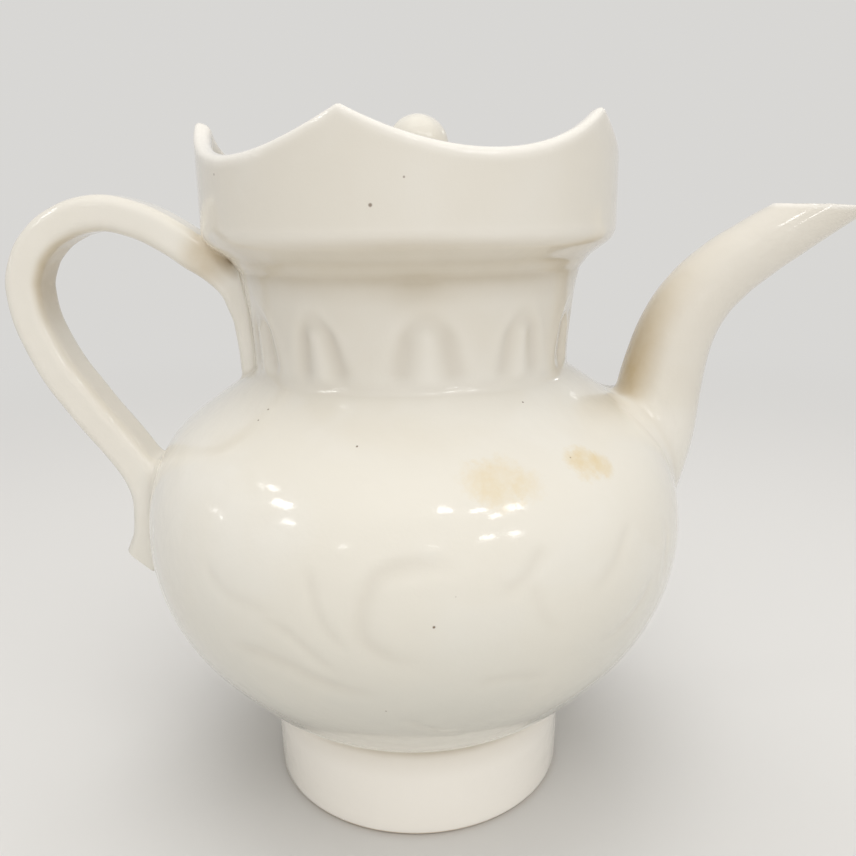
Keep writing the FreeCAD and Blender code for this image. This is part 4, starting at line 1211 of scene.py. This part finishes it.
class Field:  # one socket of a material, usable in sums
    def __init__(self, tree, socket=None):
        self.tree = tree
        self.socket = socket

    def node(self, kind, settings=None, values=None, output=0):
        made = self.tree.nodes.new(kind)
        for name, setting in (settings or {}).items():
            if name == "stops":
                ramp = made.color_ramp
                while len(ramp.elements) < len(setting):
                    ramp.elements.new(0.5)
                for element, (position, colour) in zip(ramp.elements, setting):
                    element.position = position
                    element.color = colour
            else:
                setattr(made, name, setting)
        for name, value in (values or {}).items():
            if isinstance(value, Field):
                self.tree.links.new(value.socket, made.inputs[name])
            else:
                made.inputs[name].default_value = value
        return Field(self.tree, made.outputs[output]) if made.outputs else made

    def maths(self, operation, *values):
        return self.node("ShaderNodeMath", {"operation": operation}, dict(enumerate(values)))

    def __add__(self, other):
        return self.maths("ADD", self, other)

    def __radd__(self, other):
        return self.maths("ADD", other, self)

    def __sub__(self, other):
        return self.maths("SUBTRACT", self, other)

    def __mul__(self, other):
        return self.maths("MULTIPLY", self, other)

    def __truediv__(self, other):
        return self.maths("DIVIDE", self, other)

    def ease(self, low, high):
        return self.node(
            "ShaderNodeMapRange", {"interpolation_type": "SMOOTHSTEP"},
            {"Value": self, "From Min": low, "From Max": high})

    def clamp(self):
        return self.node("ShaderNodeClamp", {}, {"Value": self})

    def noise(self, scale, detail=2.0, rough=0.5, distortion=0.0):
        return self.node(
            "ShaderNodeTexNoise", {"noise_dimensions": "3D"},
            {"Vector": self, "Scale": scale, "Detail": detail, "Roughness": rough, "Distortion": distortion})

    def mix(self, other, factor, blend="MIX"):
        return self.node(
            "ShaderNodeMix", {"data_type": "RGBA", "blend_type": blend, "clamp_factor": True},
            {0: factor, 6: self, 7: other}, 2)

    def distance(self, point):
        return self.node("ShaderNodeVectorMath", {"operation": "DISTANCE"}, {0: self, 1: point}, "Value")


def linear(red, green, blue):  # a colour as it looks on the screen
    shares = (c / 255 for c in (red, green, blue))
    return (*(((c + 0.055) / 1.055) ** 2.4 if c > 0.04045 else c / 12.92 for c in shares), 1)


glaze = {
    "ivory": linear(231, 226, 214),
    "milk": linear(236, 233, 225),
    "lowBellyShade": linear(198, 196, 185),
    "footLight": linear(251, 246, 237),
    "shade": linear(209, 202, 190),
    "pooledAndShaded": linear(176, 160, 130),
    "thin": linear(245, 241, 233),
    "amber": linear(182, 154, 96),
    "stain": linear(224, 204, 160),
    "speck": linear(104, 78, 54),
    "biscuit": linear(222, 206, 184),
    "roughness": 0.09,
    # iron in the glaze as the photo shows it: place and size in millimetres, strength
    "stains": [
        ((16.4, -67.4, 115.2), 6.0, 0.28), ((21.6, -66.0, 114.6), 8.0, 0.34),
        ((27.6, -65.4, 113.8), 5.5, 0.24), ((43.4, -54.0, 115.0), 5.5, 0.6),
        ((47.8, -51.8, 113.6), 4.2, 0.5), ((39.6, -54.8, 116.4), 3.6, 0.4),
    ],
    "bellySpecks": [
        ((5.3, -80.5, 84.9), 0.55, 1.0), ((-36.9, -39.3, 126.1), 0.45, 0.9),
        ((-39.1, -41.7, 123.8), 0.35, 0.8), ((-12.3, -59.4, 121.4), 0.4, 0.9),
        ((-41.4, -55.5, 115.2), 0.4, 0.8), ((10.3, -79.5, 91.8), 0.36, 0.9),
        ((-6.4, -74.7, 59.9), 0.36, 0.8), ((-2.0, -72.7, 55.7), 0.34, 0.8),
        ((-19.2, -76.6, 97.7), 0.32, 0.7), ((28.9, -42.6, 127.7), 0.34, 0.8),
        ((39.4, -54.9, 116.6), 0.42, 0.9), ((15.9, -67.8, 114.8), 0.34, 0.8),
        ((43.2, -54.2, 113.4), 0.3, 0.8), ((25.4, -64.8, 115.4), 0.3, 0.7),
    ],
    "cupSpecks": [((-7.5, -58.8, 176.6), 0.6, 0.75), ((0.1, -59.3, 182.4), 0.36, 0.6)],
}


def glazed(name, stains=(), specks=()):
    material = bpy.data.materials.new(name)
    material.use_nodes = True
    tree = material.node_tree
    tree.nodes.clear()
    base = Field(tree)
    spot = base.node("ShaderNodeTexCoord", {}, {}, "Object")
    height = base.node("ShaderNodeSeparateXYZ", {}, {0: spot}, "Z") / mm
    pool, edge, amber, tone = (
        base.node("ShaderNodeAttribute", {"attribute_name": word, "attribute_type": "GEOMETRY"}, {}, "Fac")
        for word in ("pool", "edge", "amber", "tone"))
    cloud = spot.noise(26, 3, 0.55, 0.4)
    mottle = spot.noise(150, 3, 0.6)
    grain = spot.noise(900, 2, 0.5)
    colour = base.node("ShaderNodeRGB", {}, {})
    colour.socket.default_value = glaze["ivory"]
    colour = colour.mix(glaze["milk"], cloud.ease(0.4, 0.68) * 0.55)
    # painted shade: the lower belly darker towards the bottom
    colour = colour.mix(glaze["lowBellyShade"], height.ease(112, 40) * height.ease(26, 33) * (0.45 + cloud * 0.6))
    # painted shade on the neck, cup, spout and strap, and in the carved grooves
    colour = colour.mix(glaze["shade"], tone)
    # painted light: the foot lighter than the belly
    colour = colour.mix(glaze["footLight"], height.ease(31, 26) * 0.9)
    # thinner glaze and a painted highlight on the edges
    colour = colour.mix(glaze["thin"], edge * (0.45 + mottle * 0.5))
    # pooled glaze in the hollows and joints, and painted shade under the cup, inside it and on the foot's top
    colour = colour.mix(glaze["pooledAndShaded"], (pool * (0.26 + cloud * 0.4 + mottle * 0.2)).clamp())
    colour = colour.mix(glaze["amber"], (amber * (0.38 + mottle * 0.5)).clamp())
    rough = glaze["roughness"] + mottle * 0.05
    for place, size, strength in stains:
        far = spot.distance([v * mm for v in place])
        patch = far / (size * mm) + spot.noise(140, 4, 0.7) * 1.5 - 0.75 + spot.noise(600, 2, 0.6) * 0.5 - 0.25
        patch = patch.ease(1.1, 0.4) * (0.3 + spot.noise(420, 3, 0.7) * 1.3) * strength
        colour = colour.mix(glaze["stain"], patch)
        rough = rough + patch * 0.12
    for place, size, strength in specks:
        dot = (spot.distance([v * mm for v in place]) / (size * mm) + grain * 0.6).ease(1.3, 0.7)
        colour = colour.mix(glaze["speck"], dot * strength)
    cells, chance = (
        base.node("ShaderNodeTexVoronoi", {"feature": "F1"}, {"Vector": spot, "Scale": 85.0}, word)
        for word in ("Distance", "Color"))
    chance = base.node("ShaderNodeSeparateColor", {}, {0: chance}, 0)
    iron = cells.ease(0.035, 0.012) * chance.ease(0.93, 0.95) * 0.7
    colour = colour.mix(glaze["speck"], iron)
    # bare clay on the foot's lower face
    bare = (height + mottle * 0.6).ease(1.5, 1.0)
    colour = colour.mix(glaze["biscuit"], bare)
    rough = rough + bare * 0.55
    # throwing rings, the glaze's soft ripple and its fine skin, in metres
    wheel = base.node(
        "ShaderNodeTexWave", {"wave_type": "BANDS", "bands_direction": "Z", "wave_profile": "SIN"},
        {"Vector": spot, "Scale": 45.0, "Distortion": 1.6, "Detail": 2.0, "Detail Scale": 0.6})
    relief = wheel * 0.000012 + spot.noise(75, 2) * 0.00016 + mottle * 0.00005
    relief = relief + spot.noise(420, 3, 0.6) * 0.00005 + grain * 0.000006 + bare * grain * 0.00006
    bump = base.node("ShaderNodeBump", {}, {"Strength": 1.0, "Distance": 1.0, "Height": relief}, "Normal")
    shader = base.node(
        "ShaderNodeBsdfPrincipled", {},
        {"Base Color": colour, "Roughness": rough, "Normal": bump, "IOR": 1.5, "Coat Weight": 0.5,
         "Coat Roughness": 0.03})
    base.node("ShaderNodeOutputMaterial", {}, {"Surface": shader})
    return material


print("mixing the glazes")
glazes = {
    "foot": glazed("footGlaze"),
    "belly": glazed("bellyGlaze", glaze["stains"], glaze["bellySpecks"]),
    "neck": glazed("neckGlaze"),
    "cup": glazed("cupGlaze", (), glaze["cupSpecks"]),
    "spout": glazed("spoutGlaze"),
    "handle": glazed("handleGlaze"),
    "lid": glazed("lidGlaze"),
}
for pieceName, body, glazeName, cadNode in (
    ("footRing", "ewer", "foot", "foot_ring"),
    ("bellyBowl", "ewer", "belly", "belly_lower_bowl"),
    ("bellyDome", "ewer", "belly", "belly_upper_dome"),
    ("petalNeck", "ewer", "neck", "neck_with_carved_petals"),
    ("flowerCup", "ewer", "cup", "mouth_cup_with_flower_rim"),
    ("pouringSpout", "ewer", "spout", "spout"),
    ("strapHandle", "ewer", "handle", "handle_strap"),
    ("lidDisc", "lid", "lid", "lid_disc"),
    ("lidFlange", "lid", "lid", "lid_locating_flange"),
    ("budKnob", "lid", "lid", "lid_bud_knob"),
):
    addPiece(pieceName, meshes[pieceName], body, glazeName + "_glaze", glazes[glazeName], cadNode)
bpy.data.meshes.remove(wholeBody)


# Stage, light and camera

stage = {
    "floor": 3.0,
    "backdrop": 0.86,
    "pale": (0.80, 0.79, 0.77, 1),
    "world": 0.45,
    # what the glaze mirrors: direction from the front, rise, width and height in degrees, radiance
    "windows": [
        (-81, 43, 6, 3, 7), (-66, 37, 8, 5, 9), (-55, 26, 6, 2.5, 8), (-90, 13, 2, 1.5, 6),
        (-85, 12, 1.8, 1.5, 6), (17, 47, 5, 5, 7), (33, 43, 6, 3, 9), (39, 36, 4, 3.5, 9), (50, 39, 6, 5, 7),
        (31, 22, 6, 2.5, 8), (43, 21, 5, 2.5, 8), (-28, 18, 4, 1.5, 5), (8, 17.5, 3, 1.5, 5),
        (138, 26, 5, 2, 5),
    ],
    # soft lamps: place, width and height, power, colour
    "panels": {
        "keyPanel": ((0.08, -0.75, 1.40), (1.1, 1.1), 8.6, (1.0, 0.99, 0.975)),
        "topPanel": ((-0.08, 0.25, 1.6), (1.2, 1.2), 9.8, (1.0, 0.99, 0.98)),
        "frontPanel": ((0.0, -1.3, 0.22), (1.0, 0.4), 3.3, (1.0, 0.99, 0.98)),
        "sidePanel": ((0.95, -0.30, 0.45), (0.8, 0.8), 0.9, (0.99, 0.99, 1.0)),
    },
    "camera": (0.0046, -0.247, 0.1741),
    "pitch": 14.5,
    "roll": 0.82,
    "focus": 821.0,
    "frame": 856.0,
}


def makeFloor():
    bm = bmesh.new()
    bmesh.ops.create_circle(bm, cap_ends=True, segments=96, radius=stage["floor"])
    mesh = bpy.data.meshes.new("floor")
    bm.to_mesh(mesh)
    bm.free()
    floor = bpy.data.objects.new("floor", mesh)
    floor.location.z = -0.0002
    bpy.context.scene.collection.objects.link(floor)
    material = bpy.data.materials.new("paleFloor")
    material.use_nodes = True
    tree = material.node_tree
    tree.nodes.clear()
    base = Field(tree)
    spot = base.node("ShaderNodeTexCoord", {}, {}, "Object")
    far = spot.distance((0, 0, 0)).ease(0.22, 0.9)
    paper = base.node(
        "ShaderNodeBsdfPrincipled", {},
        {"Base Color": (0.74, 0.73, 0.71, 1), "Roughness": 0.8, "Specular IOR Level": 0.2})
    glow = base.node("ShaderNodeEmission", {}, {"Color": stage["pale"], "Strength": stage["backdrop"]})
    both = base.node("ShaderNodeMixShader", {}, {0: far, 1: paper, 2: glow})
    base.node("ShaderNodeOutputMaterial", {}, {"Surface": both})
    mesh.materials.append(material)


def makeWorld():
    world = bpy.data.worlds.new("studio")
    bpy.context.scene.world = world
    world.use_nodes = True
    tree = world.node_tree
    tree.nodes.clear()
    base = Field(tree)
    rays = ("Is Camera Ray", "Is Glossy Ray", "Is Transmission Ray")
    camera, glossy, through = (base.node("ShaderNodeLightPath", {}, {}, word) for word in rays)
    seen = (camera + glossy + through).clamp()
    lit = base.node(
        "ShaderNodeBackground", {}, {"Color": (1.0, 0.99, 0.975, 1), "Strength": stage["world"]})
    pale = base.node("ShaderNodeBackground", {}, {"Color": stage["pale"], "Strength": stage["backdrop"]})
    both = base.node("ShaderNodeMixShader", {}, {0: seen, 1: lit, 2: pale})
    base.node("ShaderNodeOutputWorld", {}, {"Surface": both})


def panel(name, place, size, power, colour, mirrored):
    # an area lamp; only the glaze sees a mirrored one, and it doesn't see the others
    light = bpy.data.lights.new(name, "AREA")
    light.shape = "RECTANGLE"
    light.size, light.size_y = size
    light.energy = power
    light.color = colour
    lamp = bpy.data.objects.new(name, light)
    lamp.location = place
    lamp.rotation_euler = (Vector((0, 0, 0.1)) - Vector(place)).to_track_quat("-Z", "Y").to_euler()
    lamp.visible_glossy = mirrored
    lamp.visible_diffuse = not mirrored
    bpy.context.scene.collection.objects.link(lamp)


def makeWindows():
    far = 1.2
    for i, (azimuth, rise, wide, tall, radiance) in enumerate(stage["windows"]):
        level = math.cos(down(rise)) * far
        place = (
            math.sin(down(azimuth)) * level, -math.cos(down(azimuth)) * level - 0.05,
            math.sin(down(rise)) * far + 0.1)
        size = [2 * far * math.tan(down(angle / 2)) for angle in (wide, tall)]
        panel(f"window{i + 1}", place, size, radiance * math.pi * size[0] * size[1], (1, 1, 1), True)


def makeCamera():
    data = bpy.data.cameras.new("camera")
    data.sensor_width = 36
    data.lens = stage["focus"] / stage["frame"] * 36
    data.clip_start = 0.01
    camera = bpy.data.objects.new("camera", data)
    camera.rotation_mode = "QUATERNION"
    camera.location = stage["camera"]
    tilt = Vector((1, 0, 0))
    aim = Quaternion(tilt, down(90 - stage["pitch"]))
    camera.rotation_quaternion = aim @ Quaternion((0, 0, 1), down(-stage["roll"]))
    bpy.context.scene.collection.objects.link(camera)
    bpy.context.scene.camera = camera


print("setting the stage")
makeFloor()
makeWorld()
for panelName, lamp in stage["panels"].items():
    panel(panelName, *lamp, False)
makeWindows()
makeCamera()
bpy.context.scene.view_settings.view_transform = "Standard"
